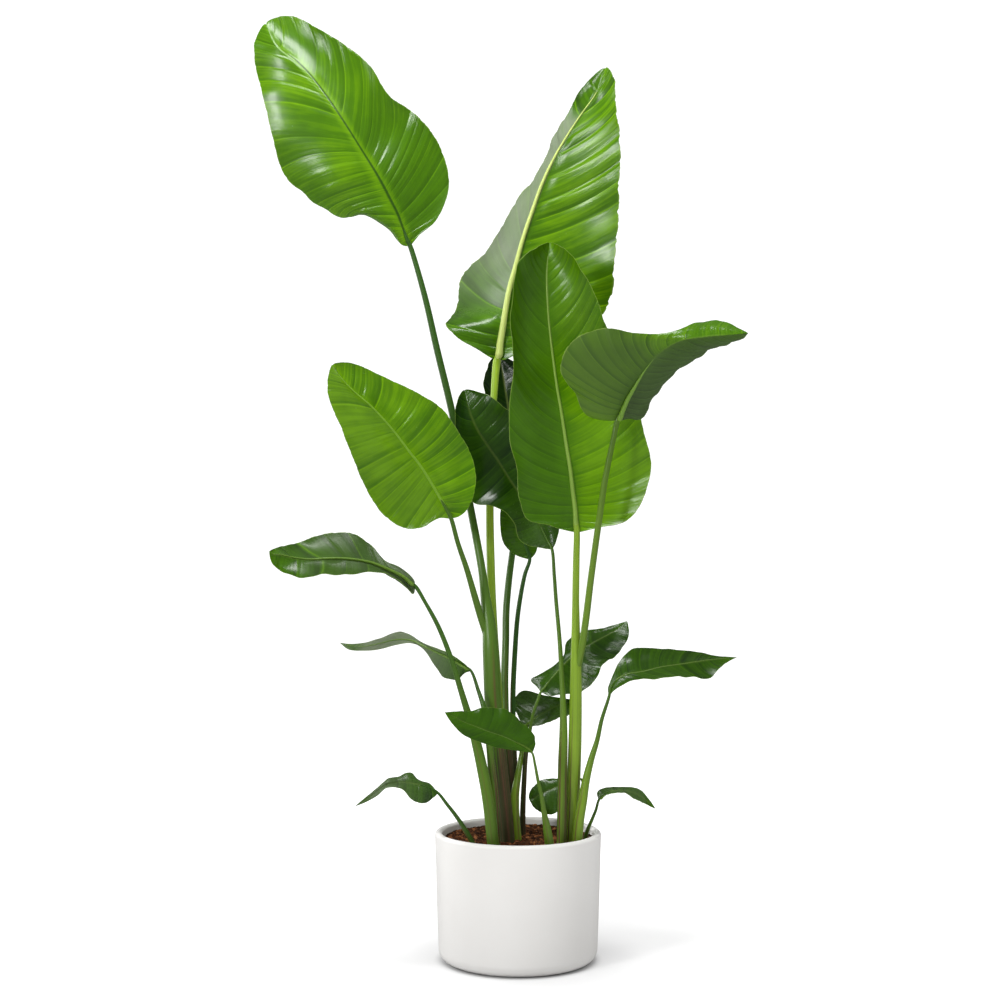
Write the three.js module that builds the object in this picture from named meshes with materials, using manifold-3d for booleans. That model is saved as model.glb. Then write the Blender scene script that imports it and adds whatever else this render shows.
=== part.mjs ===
// A potted bird of paradise: 17 leaves on long stalks, growing from soil in a round pot.
// Millimetres, +Z up. The origin is the centre of the pot's underside, and the plant is
// seen from the -Y side, with +X to the right.
import * as THREE from "three";
import { mergeVertices } from "three/addons/utils/BufferGeometryUtils.js";
import Module from "manifold-3d";

// Pot
const POT_RIM_RADIUS = 150;
const POT_FOOT_RADIUS = 143.5;
const POT_HEIGHT = 232;
const POT_WALL = 13;
const POT_FLOOR = 15;
const POT_FOOT_ROUND = 22;
const POT_SEGMENTS = 48;

// Soil
const SOIL_TOP = 219;
const SOIL_GAP = 0.4;
const SOIL_RINGS = 5;
const SOIL_LUMP = 2.5;

// Leaves
const BLADE_RIB_THICKNESS = 2.6;
const BLADE_HALF_THICKNESS = 1.6;
const BLADE_EDGE_THICKNESS = 1.0;
const STALK_SIDES = 8;
const STALK_STEPS = 14;
const STALK_JOIN_GAP = 0.5;
const STALK_SEAT_GAP = 0.3;
const SOIL_HOLE_GAP = 0.4;

// Photo: its middle and its lens, in its 1000 x 1000 pixels, and the camera's place
const PHOTO_MIDDLE = 500;
const LENS_PIXELS = 1799;
const CAMERA_X = -32.5;
const CAMERA_DISTANCE = 3250;
const CAMERA_HEIGHT = 829;

const COLOURS = {
  blade: 0x4f8f1c,
  darkBlade: 0x24481f,
  stalk: 0x5b8f2c,
  soil: 0x4a2816,
  pot: 0xf1f0ee,
};
const DARK_LEAVES = ["inner_dark_leaf", "rear_leaf", "rear_small_leaf", "foot_middle_leaf"];

// Each row of points crosses a blade from its left margin over the rib to its right margin,
// and the rows run from the stalk to the tip, where a row is one point. A row of four has a
// fold between the left margin and the rib. upperSide is 1 where the viewer sees the upper
// face. A stalk's points run down from the blade. sheath names the leaf whose stalk the
// stalk comes out of, where it doesn't reach the soil. Each point is traced on the photo by
// hand: its pixels from the left and from the top, then how many millimetres it lies behind
// the pot's axis and, on a stalk, the radius there in millimetres.
const TRACED_LEAVES = [
  {
    name: "tall_left_leaf", // tall leaf at the upper left, its near margin rolled under at the foot
    upperSide: 1,
    camber: 0.1,
    rows: [
      [[410, 246, 20]],
      [[400, 241, 30], [403, 245, 18], [408, 241, 17], [420, 234, 26]],
      [[386, 227, 30], [392, 229, 8], [404, 230, 13], [438, 218, 34]],
      [[360, 214, 30], [371, 213, 5], [398, 214, 8], [449, 185, 40]],
      [[343, 219.5, 40], [354, 208, 6], [391, 199, 4], [444, 157, 42]],
      [[321, 208, 34], [341, 198, 4], [384, 186, 1], [434, 136, 40]],
      [[306, 193.5, 26], [335, 183, -2], [376, 172, 0], [423, 122, 38]],
      [[284, 174, 22], [322, 160, -4], [367, 158, -1], [411, 111, 36]],
      [[272, 131, 10], [312, 133, -6], [356, 141, -3], [389, 95, 24]],
      [[262, 93, 10], [298, 98, -2], [338, 113, -2], [371, 67, 14]],
      [[255, 68, 24], [286, 73, 8], [318, 85, 4], [345, 45, 12]],
      [[254.5, 50, 28], [276, 55, 13], [298, 62, 9], [318, 28.5, 22]],
      [[256, 39, 42], [269, 43, 22], [280, 47, 16], [290, 16, 40]],
      [[266, 24, 42]],
    ],
    stalk: [
      [424.2, 295, 24, 5.5], [437.2, 350, 28, 6.2], [452.2, 412, 30, 6.5], [470.5, 508, 20, 6.8],
      [482, 570, -8, 7], [486, 600, -24, 9], [489, 625, -34, 12], [490.5, 650, -42, 14],
      [493, 700, -47, 14.5], [497.5, 750, -48, 14.5], [503, 800, -46, 14], [509, 866, -40, 13.5],
    ],
    stalkTip: 4.5,
  },
  {
    name: "tall_right_leaf", // tall leaf at the upper right, its left half folded back
    upperSide: 1,
    camber: 0.06,
    rows: [
      [[497, 361, 60]],
      [[484, 354, 48], [499, 354, 58], [508, 358, 50]],
      [[462, 342, 46], [500, 345, 56], [530, 346, 40]],
      [[446.5, 326.5, 50], [503, 328, 53], [566, 336, 30]],
      [[457, 308, 128], [506, 310, 51], [600, 317, 30]],
      [[462, 276, 176], [510, 290, 50], [612, 293, 28]],
      [[480, 256, 196], [516, 268, 49], [616, 255, 20]],
      [[500, 230, 202], [524, 240, 48], [618.5, 220, 10]],
      [[517, 204, 198], [533, 212, 47], [619, 190, 0]],
      [[535, 178, 182], [543, 184, 45], [620, 160, -6]],
      [[548, 153, 152], [555, 158, 42], [618.5, 130, -8]],
      [[555, 132, 108], [568, 135, 38], [617, 104, -4]],
      [[568, 112, 70], [582, 114, 34], [616, 85, 6]],
      [[584, 86, 44], [596, 93, 30], [612, 73, 14]],
      [[605, 68.5, 26]],
    ],
    stalk: [
      [494, 400, 52, 6], [491, 460, 38, 6.5], [490, 510, 26, 7], [491, 570, 18, 7.5],
      [492, 600, 10, 7.5], [494, 640, -4, 7.5], [498, 700, -15, 8.5], [500, 750, -15, 9],
      [503, 800, -13, 10], [506, 866, -10, 11],
    ],
    stalkTip: 5.5,
  },
  {
    name: "centre_leaf", // big leaf in the middle, facing the viewer
    upperSide: 1,
    camber: 0.1,
    rows: [
      [[577, 532, -55]],
      [[553, 527, -61], [576, 522, -56], [600, 527, -60]],
      [[527, 519, -69], [575, 511, -57], [626, 521, -65]],
      [[519, 497, -78], [573, 493, -58], [643, 499, -70]],
      [[517, 470, -87], [570, 470, -60], [650.5, 464, -76]],
      [[510.5, 437, -93], [566, 442, -61], [645, 433, -79]],
      [[511, 397, -98], [561, 412, -62], [636, 396, -82]],
      [[512.5, 362, -101], [556, 382, -63], [622, 360, -85]],
      [[510, 329, -104], [552, 352, -64], [608, 330, -88]],
      [[512, 297, -105], [549, 322, -65], [597, 303, -91]],
      [[517, 270, -104], [547, 297, -66], [587, 279, -92]],
      [[527, 254, -98], [546.5, 275, -66], [574, 257, -88]],
      [[538, 246.5, -86], [548, 257, -66], [561, 246.5, -80]],
      [[549.5, 243, -64]],
    ],
    stalk: [
      [576.5, 560, -55, 6], [576, 600, -55, 6.3], [576, 630, -56, 7.5], [575.5, 660, -57, 9.5],
      [575.5, 700, -54, 11], [575, 740, -50, 11.5], [574, 780, -46, 11.5], [573, 800, -43, 11],
      [571, 842, -38, 11], [569, 866, -34, 11],
    ],
    stalkTip: 5.5,
  },
  {
    name: "mid_left_leaf", // pale leaf at the middle left
    upperSide: 1,
    camber: 0.1,
    sheath: "tall_left_leaf",
    rows: [
      [[451, 518, -75]],
      [[440, 518, -71], [447, 510, -79], [461, 515, -70]],
      [[424, 527, -66], [441, 500, -86], [471, 503, -66]],
      [[405, 528, -64], [432, 484, -94], [476, 478, -64]],
      [[383, 514, -65], [421, 466, -103], [471, 454, -65]],
      [[364, 485, -70], [409, 451, -112], [458, 431, -70]],
      [[353, 457, -77], [396, 434, -121], [442, 409, -77]],
      [[341, 427, -85], [383, 419, -129], [421, 395, -85]],
      [[330, 401, -96], [369, 404, -136], [393, 381, -96]],
      [[327, 384, -109], [354, 391, -141], [367, 369, -109]],
      [[329, 372, -126], [341, 377, -144], [347, 362.5, -126]],
      [[333, 365, -146]],
    ],
    stalk: [
      [458, 543, -68, 4.2], [467, 570, -58, 5], [474.8, 597, -48, 5.8], [481.3, 618, -40, 6],
      [486, 632, -37, 6],
    ],
    stalkTip: 3.8,
  },
  {
    name: "right_arching_leaf", // leaf arching over to the front right, its underside to the viewer
    upperSide: -1,
    camber: 0.12,
    sheath: "centre_leaf",
    rows: [
      [[617, 421, -112]],
      [[587, 416, -126], [619, 416, -114], [629, 419, -102]],
      [[574, 394, -143], [622, 409, -119], [642, 417, -95]],
      [[561, 370, -165], [627, 398, -127], [651, 402.5, -91]],
      [[572, 342, -181], [635, 385, -137], [664, 386, -95]],
      [[604, 328, -191], [646, 368, -151], [681, 370, -105]],
      [[636, 333, -193], [660, 353, -171], [697, 356.5, -129]],
      [[671, 332, -188], [680, 341, -196], [713, 348, -164]],
      [[699, 323, -194], [704, 337, -226], [728, 345, -206]],
      [[724, 322, -229], [728, 335, -257], [741, 340, -248]],
      [[748, 333, -287]],
    ],
    stalk: [
      [613, 440, -110, 4.6], [605, 480, -106, 5.4], [599, 520, -100, 5.6], [591, 580, -88, 5.8],
      [586.5, 615, -78, 6], [582, 645, -68, 6], [578, 665, -60, 6],
    ],
    stalkTip: 3.8,
  },
  {
    name: "inner_dark_leaf", // dark leaf behind the centre and middle left leaves
    upperSide: 1,
    camber: 0.08,
    rows: [
      [[552, 549, -10]],
      [[541, 547.5, -11], [548, 541, -5], [556, 542, -10]],
      [[522, 541, -11], [540, 525, 1], [560, 525, -9]],
      [[512, 521, -13], [526, 503, 7], [557, 500, -9]],
      [[497, 508, -16], [511, 481, 10], [550, 470, -10]],
      [[473, 502, -17], [498, 461, 10], [537, 441, -10]],
      [[460, 467, -17], [486, 443, 8], [521, 420, -10]],
      [[455, 430, -14], [476, 427, 6], [504, 407, -8]],
      [[456, 404, -3], [469, 409, 8], [486, 395, 0]],
      [[464.5, 390, 12]],
    ],
    stalk: [
      [554, 575, -16, 3.2], [556, 600, -22, 3.5], [559.5, 640, -34, 3.8], [561.8, 680, -45, 4.5],
      [563.5, 710, -52, 6], [563.5, 740, -57, 7.5], [563, 760, -59, 8], [562.5, 800, -62, 8.5],
      [562, 842, -62, 8.7], [561, 866, -62, 9],
    ],
    stalkTip: 2.8,
  },
  {
    name: "rear_leaf", // dark leaf behind the upper right stalk
    upperSide: 1,
    camber: 0.08,
    rows: [
      [[519, 508, 120]],
      [[507, 498, 116], [518, 492, 124], [530, 494, 116]],
      [[495, 470, 114], [516, 468, 130], [545, 466, 114]],
      [[488, 435, 116], [513, 440, 136], [549, 435, 116]],
      [[486, 400, 120], [509, 412, 140], [543, 402, 120]],
      [[484.5, 376, 126], [505, 388, 144], [530, 375, 126]],
      [[490, 361, 137], [502, 368, 147], [514, 362, 137]],
      [[499, 356, 150]],
    ],
    stalk: [
      [516, 525, 114, 5], [512, 555, 100, 6], [509, 580, 86, 6.2], [506.5, 610, 68, 6.4],
      [505.5, 640, 50, 6.5], [504.5, 680, 30, 6.8], [505, 720, 15, 7.2], [507, 750, 8, 7.5],
      [513, 800, 8, 8], [519, 866, 10, 9],
    ],
    stalkTip: 4.6,
  },
  {
    name: "rear_small_leaf", // small dark leaf behind the inner dark leaf
    upperSide: 1,
    camber: 0.08,
    rows: [
      [[530, 559, 44]],
      [[516, 555, 47], [527, 550, 42], [536, 553, 47]],
      [[504, 544, 49], [522, 538, 39], [538, 541, 49]],
      [[500, 527, 50], [517, 525, 38], [535, 522, 50]],
      [[501, 508, 51], [511, 510, 40], [526, 503, 51]],
      [[506, 490, 46]],
    ],
    stalk: [
      [525, 575, 46, 3.8], [520, 600, 45, 4.2], [517, 620, 42, 4.4], [515, 650, 36, 4.6],
      [513, 700, 28, 4.8], [514, 750, 28, 5], [516, 800, 35, 5.5], [514, 866, 44, 6],
    ],
    stalkTip: 3.2,
  },
  {
    name: "left_arching_leaf", // leaf arching over to the front left
    upperSide: 1,
    camber: 0.1,
    rows: [
      [[415, 586, -100]],
      [[414, 580, -99], [410, 583.5, -102], [414, 593, -105]],
      [[401, 568, -95], [402, 578, -107], [406, 587.5, -117]],
      [[385, 560, -93], [388, 571, -115], [398, 580, -135]],
      [[371, 545, -76], [370, 564, -125], [384, 574, -151]],
      [[350, 533, -78], [350, 560, -137], [364, 573, -167]],
      [[328, 534, -88], [330, 559, -150], [342, 573, -182]],
      [[305, 540, -108], [311, 560, -163], [322, 574, -193]],
      [[287, 544.5, -134], [293, 558, -176], [302, 578, -201]],
      [[276, 548, -173], [280, 554.5, -187], [284, 573, -203]],
      [[271, 550, -188], [273, 554, -193], [272, 562, -200]],
      [[269, 552, -198]],
    ],
    stalk: [
      [425, 602, -102, 3.2], [438.5, 627, -104, 4], [451.5, 660, -105, 4.6],
      [461, 690, -105, 5.2], [470, 720, -104, 6.5], [477, 745, -104, 8.5],
      [482.5, 770, -104, 9.3], [488, 800, -104, 10], [493, 840, -98, 10.3], [496, 866, -95, 10.5],
    ],
    stalkTip: 2.8,
  },
  {
    name: "left_twisted_leaf", // slim leaf below it, twisted half way
    upperSide: 1,
    camber: 0.06,
    rows: [
      [[471, 671, -60]],
      [[466, 665, -64], [465, 666.5, -60], [466, 673, -54]],
      [[458, 659, -66], [456, 661, -58], [457, 680, -46]],
      [[448, 653, -64], [446, 656, -54], [443, 676, -38]],
      [[438, 649, -60], [436, 651, -50], [434, 664, -38]],
      [[424, 643, -47], [423, 645, -44], [423, 648.5, -40]],
      [[408, 634, -28], [410, 640.5, -36], [410, 643, -41]],
      [[396, 632, -16], [396, 640, -28], [396, 645, -36]],
      [[381, 637.5, -10], [380, 643.5, -20], [378, 649.5, -28]],
      [[365, 642.5, -6], [364, 646.5, -12], [361, 651, -18]],
      [[350, 644, -3], [350, 646, -6], [348, 649.5, -9]],
      [[340, 643, 0]],
    ],
    stalk: [
      [478, 690, -72, 3.4], [485, 712, -83, 5], [489.5, 745, -89, 6.3], [491.5, 770, -88, 6.8],
      [494.5, 800, -85, 6], [497, 842, -81, 6], [498, 866, -80, 6],
    ],
    stalkTip: 2.4,
  },
  {
    name: "front_leaf", // small leaf in front of all the stalks
    upperSide: 1,
    camber: 0.08,
    rows: [
      [[532, 753, -150]],
      [[535, 744, -143], [527, 748, -153], [525, 752, -157]],
      [[533, 735, -140], [516, 742, -160], [509, 750, -168]],
      [[522, 721, -141], [503, 736.5, -169], [492, 746, -181]],
      [[505, 710, -148], [490, 732, -178], [476, 740.5, -190]],
      [[487, 708.5, -161], [476, 727, -187], [464, 735, -199]],
      [[470, 710.5, -177], [464, 722, -195], [455, 727, -205]],
      [[458, 711.5, -194], [454, 716.5, -202], [449, 719.5, -207]],
      [[445, 712.5, -208]],
    ],
    stalk: [
      [535, 765, -146, 2.3], [538, 780, -140, 2.8], [541, 795, -132, 3.2], [544, 812, -122, 4.5],
      [547, 830, -110, 7], [550, 848, -103, 8], [552, 866, -98, 8],
    ],
    stalkTip: 1.9,
  },
  {
    name: "low_right_rear_leaf", // low leaf behind the right stalks
    upperSide: 1,
    camber: 0.08,
    rows: [
      [[541, 692, 15]],
      [[537, 687, 21], [545, 687, 17], [550, 696, 9]],
      [[531, 679, 33], [551, 679, 21], [563, 695, 7]],
      [[543, 673.5, 43], [558, 671, 27], [580, 692, 9]],
      [[563, 657, 54], [568, 660, 34], [593, 682, 12]],
      [[567, 641, 65], [578, 651, 43], [602, 666, 19]],
      [[583, 631.5, 76], [592, 643, 54], [612, 659.5, 32]],
      [[600, 629, 84], [605, 636, 66], [621, 650, 50]],
      [[614, 625, 88], [617, 629, 78], [628.5, 634, 69]],
      [[627, 621, 88]],
    ],
    stalk: [
      [537, 702, 13, 2.8], [533, 715, 12, 3], [530, 730, 12, 3.3], [526, 752, 13, 4],
      [524, 785, 21, 4.5], [523, 815, 28, 5], [523, 866, 34, 5.5],
    ],
    stalkTip: 2.2,
  },
  {
    name: "low_middle_leaf", // short leaf low down between the two groups of stalks
    upperSide: 1,
    camber: 0.08,
    rows: [
      [[524, 728, 40]],
      [[518, 717, 49], [529, 723, 41], [536, 725.5, 35]],
      [[513, 704, 58], [538, 716, 44], [548, 722.5, 32]],
      [[522, 691, 66], [549, 710, 48], [562, 717, 32]],
      [[545, 695.5, 66], [560, 705, 52], [573, 711, 40]],
      [[578, 701, 56]],
    ],
    stalk: [
      [521.5, 752, 24, 4.2], [518, 775, 2, 6], [515, 800, -16, 7.8], [519, 866, -24, 8.5],
    ],
    stalkTip: 2.8,
  },
  {
    name: "low_right_leaf", // low leaf reaching to the right
    upperSide: 1,
    camber: 0.08,
    rows: [
      [[609, 696, -60]],
      [[608, 689, -56], [611, 687, -59], [614, 691, -63]],
      [[612, 677, -43], [616, 680, -57], [624, 684.5, -69]],
      [[619, 662, -26], [627, 674, -52], [640, 680, -72]],
      [[632, 650, -11], [643, 671, -45], [657, 678, -71]],
      [[652, 648.5, 0], [661, 667, -36], [675, 676, -64]],
      [[674, 649.5, 9], [680, 664, -25], [692, 676.5, -51]],
      [[696, 651, 12], [698, 661, -14], [708, 680, -34]],
      [[712, 655.5, 10], [714, 659, -4], [720, 668, -15]],
      [[726, 656.5, 9], [727, 658, 4], [729, 661, 0]],
      [[737, 657, 10]],
    ],
    stalk: [
      [601.5, 720, -58, 3.5], [597, 740, -58, 4.3], [591, 760, -60, 5.7], [586, 780, -63, 7],
      [582.5, 800, -66, 8], [579.5, 820, -66, 8.5], [577, 842, -63, 9], [576, 866, -61, 9],
    ],
    stalkTip: 2.7,
  },
  {
    name: "foot_middle_leaf", // small round leaf behind the right stalks, near the soil
    upperSide: 1,
    camber: 0.1,
    rows: [
      [[581, 779, 25]],
      [[573, 777, 30], [572, 781, 24], [571, 787, 20]],
      [[559, 778.5, 32], [560, 785, 23], [562, 804, 12]],
      [[546, 779, 32], [549, 790, 21], [553, 814, 8]],
      [[536, 784, 29], [539, 795, 20], [543, 813.5, 10]],
      [[530, 791, 25], [533, 799, 20], [534, 807, 15]],
      [[529, 799, 20]],
    ],
    stalk: [
      [583, 790, 24, 2.4], [582, 810, 22, 3], [580, 838, 20, 4], [579, 866, 18, 4.5],
    ],
    stalkTip: 2,
  },
  {
    name: "foot_left_leaf", // small leaf over the left of the rim
    upperSide: 1,
    camber: 0.1,
    rows: [
      [[438, 793, -80]],
      [[430, 784, -77], [430, 788, -83], [433, 798, -89]],
      [[420, 780, -75], [420, 785, -88], [424, 803, -100]],
      [[410, 773, -79], [409, 783, -95], [412, 800, -109]],
      [[397, 777, -90], [397, 783, -103], [401, 788.5, -114]],
      [[387, 779, -103], [386, 785, -112], [387, 788, -120]],
      [[377, 788, -114], [376, 792, -120], [377, 796, -126]],
      [[366, 797, -125], [366, 799, -128], [366, 802.5, -131]],
      [[354, 807, -136]],
    ],
    stalk: [
      [447, 804, -80, 3], [456, 816, -78, 3.5], [464, 828, -75, 4], [472, 842, -72, 4.5],
      [480, 866, -70, 5],
    ],
    stalkTip: 2.4,
  },
  {
    name: "foot_right_leaf", // small leaf over the right of the rim
    upperSide: 1,
    camber: 0.1,
    rows: [
      [[599, 800, -40]],
      [[597, 793, -31], [603, 795, -37], [605, 795, -43]],
      [[604, 788, -19], [610, 791, -31], [614, 793, -41]],
      [[616, 787, -8], [620, 790, -22], [624, 793, -35]],
      [[630, 787.5, 0], [631, 791.5, -12], [633, 798, -24]],
      [[640, 789.5, 6], [640, 795.5, -3], [641, 801.5, -12]],
      [[648, 798, 9], [648, 801.5, 5], [648, 805.5, 1]],
      [[656, 809, 12]],
    ],
    stalk: [
      [596, 810, -34, 2.6], [592, 820, -28, 3], [588, 830, -20, 3.5], [585, 842, -14, 4],
      [583, 866, -8, 4.5],
    ],
    stalkTip: 2.2,
  },
];

// A traced point's place in whole millimetres, with the radius left as it is
function placeOf([across, down, y, ...radius]) {
  const scale = (CAMERA_DISTANCE + y) / LENS_PIXELS;
  const x = CAMERA_X + (across - PHOTO_MIDDLE) * scale;
  const z = CAMERA_HEIGHT - (down - PHOTO_MIDDLE) * scale;
  return [Math.round(x), y, Math.round(z), ...radius];
}

const LEAVES = TRACED_LEAVES.map((leaf) => ({
  ...leaf,
  rows: leaf.rows.map((row) => row.map(placeOf)),
  stalk: leaf.stalk.map(placeOf),
}));

const wasm = await Module();
wasm.setup();

function vec(point) {
  return new THREE.Vector3(point[0], point[1], point[2]);
}

function solidGeometry(positions, indices) {
  const geometry = new THREE.BufferGeometry();
  geometry.setAttribute("position", new THREE.Float32BufferAttribute(positions, 3));
  geometry.setIndex(indices);
  const volume = signedVolume(geometry);
  if (volume < 0) {
    geometry.setIndex(indices.slice().reverse());
  }
  return geometry;
}

function signedVolume(geometry) {
  const at = geometry.attributes.position;
  const index = geometry.index;
  const corners = [new THREE.Vector3(), new THREE.Vector3(), new THREE.Vector3()];
  let sum = 0;
  for (let i = 0; i < index.count; i += 3) {
    corners.forEach((corner, k) => corner.fromBufferAttribute(at, index.getX(i + k)));
    sum += corners[0].dot(corners[1].cross(corners[2])) / 6;
  }
  return sum;
}

// Blades

// The point half way between the rib and a margin, raised towards the leaf's upper side.
function raisedMiddle(rib, margin, along, side, leaf) {
  const across = margin.clone().sub(rib);
  const up = across.clone().cross(along).normalize();
  const lift = across.length() * leaf.camber * side * leaf.upperSide;
  return rib.clone().add(margin).multiplyScalar(0.5).addScaledVector(up, lift);
}

function bladeGrid(leaf) {
  const rows = leaf.rows.map((row) => row.map(vec));
  const last = rows.length - 1;
  const ribOf = (row) => row[Math.max(0, row.length - 2)];
  return rows.map((row, i) => {
    if (row.length === 1) {
      return row;
    }
    const along = ribOf(rows[Math.min(i + 1, last)]).clone().sub(ribOf(rows[i - 1]));
    const rib = ribOf(row);
    const left = row[0];
    const right = row[row.length - 1];
    const fold = row.length === 4 ? row[1] : raisedMiddle(rib, left, along, 1, leaf);
    return [left, fold, rib, raisedMiddle(rib, right, along, -1, leaf), right];
  });
}

// Faces between two rows of vertex numbers, either of which may be a single pole.
function rowFaces(lower, upper, flip) {
  const faces = [];
  const add = (a, b, c) => faces.push(...(flip ? [a, c, b] : [a, b, c]));
  const columns = Math.max(lower.length, upper.length) - 1;
  for (let j = 0; j < columns; j += 1) {
    if (lower.length > 1) {
      add(lower[j], lower[j + 1], upper.length > 1 ? upper[j + 1] : upper[0]);
    }
    if (upper.length > 1) {
      add(lower.length > 1 ? lower[j] : lower[0], upper[j + 1], upper[j]);
    }
  }
  return faces;
}

function gridNormals(grid) {
  const sheet = new THREE.BufferGeometry();
  const flat = grid.flat();
  const numbers = numberRows(grid, 0);
  const faces = [];
  for (let i = 0; i + 1 < grid.length; i += 1) {
    faces.push(...rowFaces(numbers[i], numbers[i + 1], false));
  }
  sheet.setAttribute("position", new THREE.Float32BufferAttribute(flat.flatMap((p) => p.toArray()), 3));
  sheet.setIndex(faces);
  sheet.computeVertexNormals();
  return flat.map((_, i) => new THREE.Vector3().fromBufferAttribute(sheet.attributes.normal, i));
}

function numberRows(grid, first) {
  let next = first;
  return grid.map((row) => row.map(() => next++));
}

function bladeGeometry(leaf) {
  const grid = bladeGrid(leaf);
  const normals = gridNormals(grid);
  const flat = grid.flat();
  const thickness = grid.flatMap((row) =>
    row.length === 1
      ? [BLADE_HALF_THICKNESS]
      : [
          BLADE_EDGE_THICKNESS,
          BLADE_HALF_THICKNESS,
          BLADE_RIB_THICKNESS,
          BLADE_HALF_THICKNESS,
          BLADE_EDGE_THICKNESS,
        ],
  );
  const positions = [];
  for (const side of [0.5, -0.5]) {
    flat.forEach((point, i) => {
      positions.push(...point.clone().addScaledVector(normals[i], side * thickness[i]).toArray());
    });
  }
  const front = numberRows(grid, 0);
  const back = numberRows(grid, flat.length);
  const faces = [];
  for (let i = 0; i + 1 < grid.length; i += 1) {
    faces.push(...rowFaces(front[i], front[i + 1], false));
    faces.push(...rowFaces(back[i], back[i + 1], true));
    const leftWall = [front, back].map((side) => [side[i][0], side[i + 1][0]]);
    const rightWall = [back, front].map((side) => [side[i].at(-1), side[i + 1].at(-1)]);
    for (const [one, other] of [leftWall, rightWall]) {
      faces.push(one[0], one[1], other[1], one[0], other[1], other[0]);
    }
  }
  return solidGeometry(positions, faces);
}

// Stalks

function stalkPoints(leaf) {
  const base = vec(leaf.rows[0][0]);
  const next = vec(leaf.stalk[0]);
  const top = base.clone().add(next.sub(base).setLength(STALK_JOIN_GAP));
  return [top, ...leaf.stalk.map(vec)];
}

function stalkGeometry(leaf, extraRadius) {
  const points = stalkPoints(leaf);
  const radii = [leaf.stalkTip, ...leaf.stalk.map((point) => point[3])];
  const curve = new THREE.CatmullRomCurve3(points, false, "centripetal");
  const positions = [];
  const faces = [];
  const sideways = new THREE.Vector3(1, 0, 0);
  for (let i = 0; i <= STALK_STEPS; i += 1) {
    const t = i / STALK_STEPS;
    const centre = curve.getPoint(t);
    const along = curve.getTangent(t);
    const place = t * (radii.length - 1);
    const low = Math.min(Math.floor(place), radii.length - 2);
    const radius = THREE.MathUtils.lerp(radii[low], radii[low + 1], place - low) + extraRadius;
    const u = sideways.clone().addScaledVector(along, -sideways.dot(along)).normalize();
    const v = along.clone().cross(u);
    for (let k = 0; k < STALK_SIDES; k += 1) {
      const angle = (2 * Math.PI * k) / STALK_SIDES;
      const point = centre.clone();
      point.addScaledVector(u, radius * Math.cos(angle));
      point.addScaledVector(v, radius * Math.sin(angle));
      positions.push(...point.toArray());
    }
  }
  for (let i = 0; i < STALK_STEPS; i += 1) {
    for (let k = 0; k < STALK_SIDES; k += 1) {
      const a = i * STALK_SIDES + k;
      const b = i * STALK_SIDES + ((k + 1) % STALK_SIDES);
      faces.push(a, a + STALK_SIDES, b, b, a + STALK_SIDES, b + STALK_SIDES);
    }
  }
  const end = STALK_STEPS * STALK_SIDES;
  for (let k = 1; k + 1 < STALK_SIDES; k += 1) {
    faces.push(0, k, k + 1);
    faces.push(end, end + k + 1, end + k);
  }
  return solidGeometry(positions, faces);
}

// The stalk, cut back to the sheath that it comes out of.
function seatedStalk(leaf) {
  const stalk = stalkGeometry(leaf, 0);
  const parent = LEAVES.find((other) => other.name === leaf.sheath);
  if (!parent) {
    return stalk;
  }
  const sheath = manifoldOf(stalkGeometry(parent, STALK_SEAT_GAP));
  return geometryOf(manifoldOf(stalk).subtract(sheath));
}

// Pot and soil

function outerRadius(z) {
  return THREE.MathUtils.lerp(POT_FOOT_RADIUS, POT_RIM_RADIUS, z / POT_HEIGHT);
}

function latheGeometry(profile) {
  const lathe = new THREE.LatheGeometry(profile, POT_SEGMENTS);
  lathe.rotateX(Math.PI / 2);
  lathe.deleteAttribute("normal");
  lathe.deleteAttribute("uv");
  const merged = mergeVertices(lathe, 1e-4);
  return solidGeometry(Array.from(merged.attributes.position.array), openFaces(merged));
}

// The index without the flat triangles that a lathe makes on its axis.
function openFaces(geometry) {
  const index = Array.from(geometry.index.array);
  const kept = [];
  for (let i = 0; i < index.length; i += 3) {
    const [a, b, c] = index.slice(i, i + 3);
    if (a !== b && b !== c && c !== a) {
      kept.push(a, b, c);
    }
  }
  return kept;
}

function potGeometry() {
  const crest = POT_WALL / 2;
  const profile = [new THREE.Vector2(0, 0)];
  const footSteps = 5;
  for (let i = 0; i <= footSteps; i += 1) {
    const angle = (Math.PI / 2) * (i / footSteps);
    const x = outerRadius(0) - POT_FOOT_ROUND + POT_FOOT_ROUND * Math.sin(angle);
    profile.push(new THREE.Vector2(x, POT_FOOT_ROUND - POT_FOOT_ROUND * Math.cos(angle)));
  }
  const crestSteps = 6;
  for (let i = 0; i <= crestSteps; i += 1) {
    const angle = Math.PI * (i / crestSteps);
    const x = POT_RIM_RADIUS - crest + crest * Math.cos(angle);
    profile.push(new THREE.Vector2(x, POT_HEIGHT - crest + crest * Math.sin(angle)));
  }
  profile.push(new THREE.Vector2(outerRadius(POT_FLOOR) - POT_WALL, POT_FLOOR));
  profile.push(new THREE.Vector2(0, POT_FLOOR));
  return latheGeometry(profile);
}

function manifoldOf(geometry) {
  return new wasm.Manifold(
    new wasm.Mesh({
      numProp: 3,
      vertProperties: new Float32Array(geometry.attributes.position.array),
      triVerts: new Uint32Array(geometry.index.array),
    }),
  );
}

function geometryOf(manifold) {
  const mesh = manifold.getMesh();
  const geometry = new THREE.BufferGeometry();
  geometry.setAttribute("position", new THREE.Float32BufferAttribute(mesh.vertProperties, 3));
  geometry.setIndex(Array.from(mesh.triVerts));
  return geometry;
}

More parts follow.
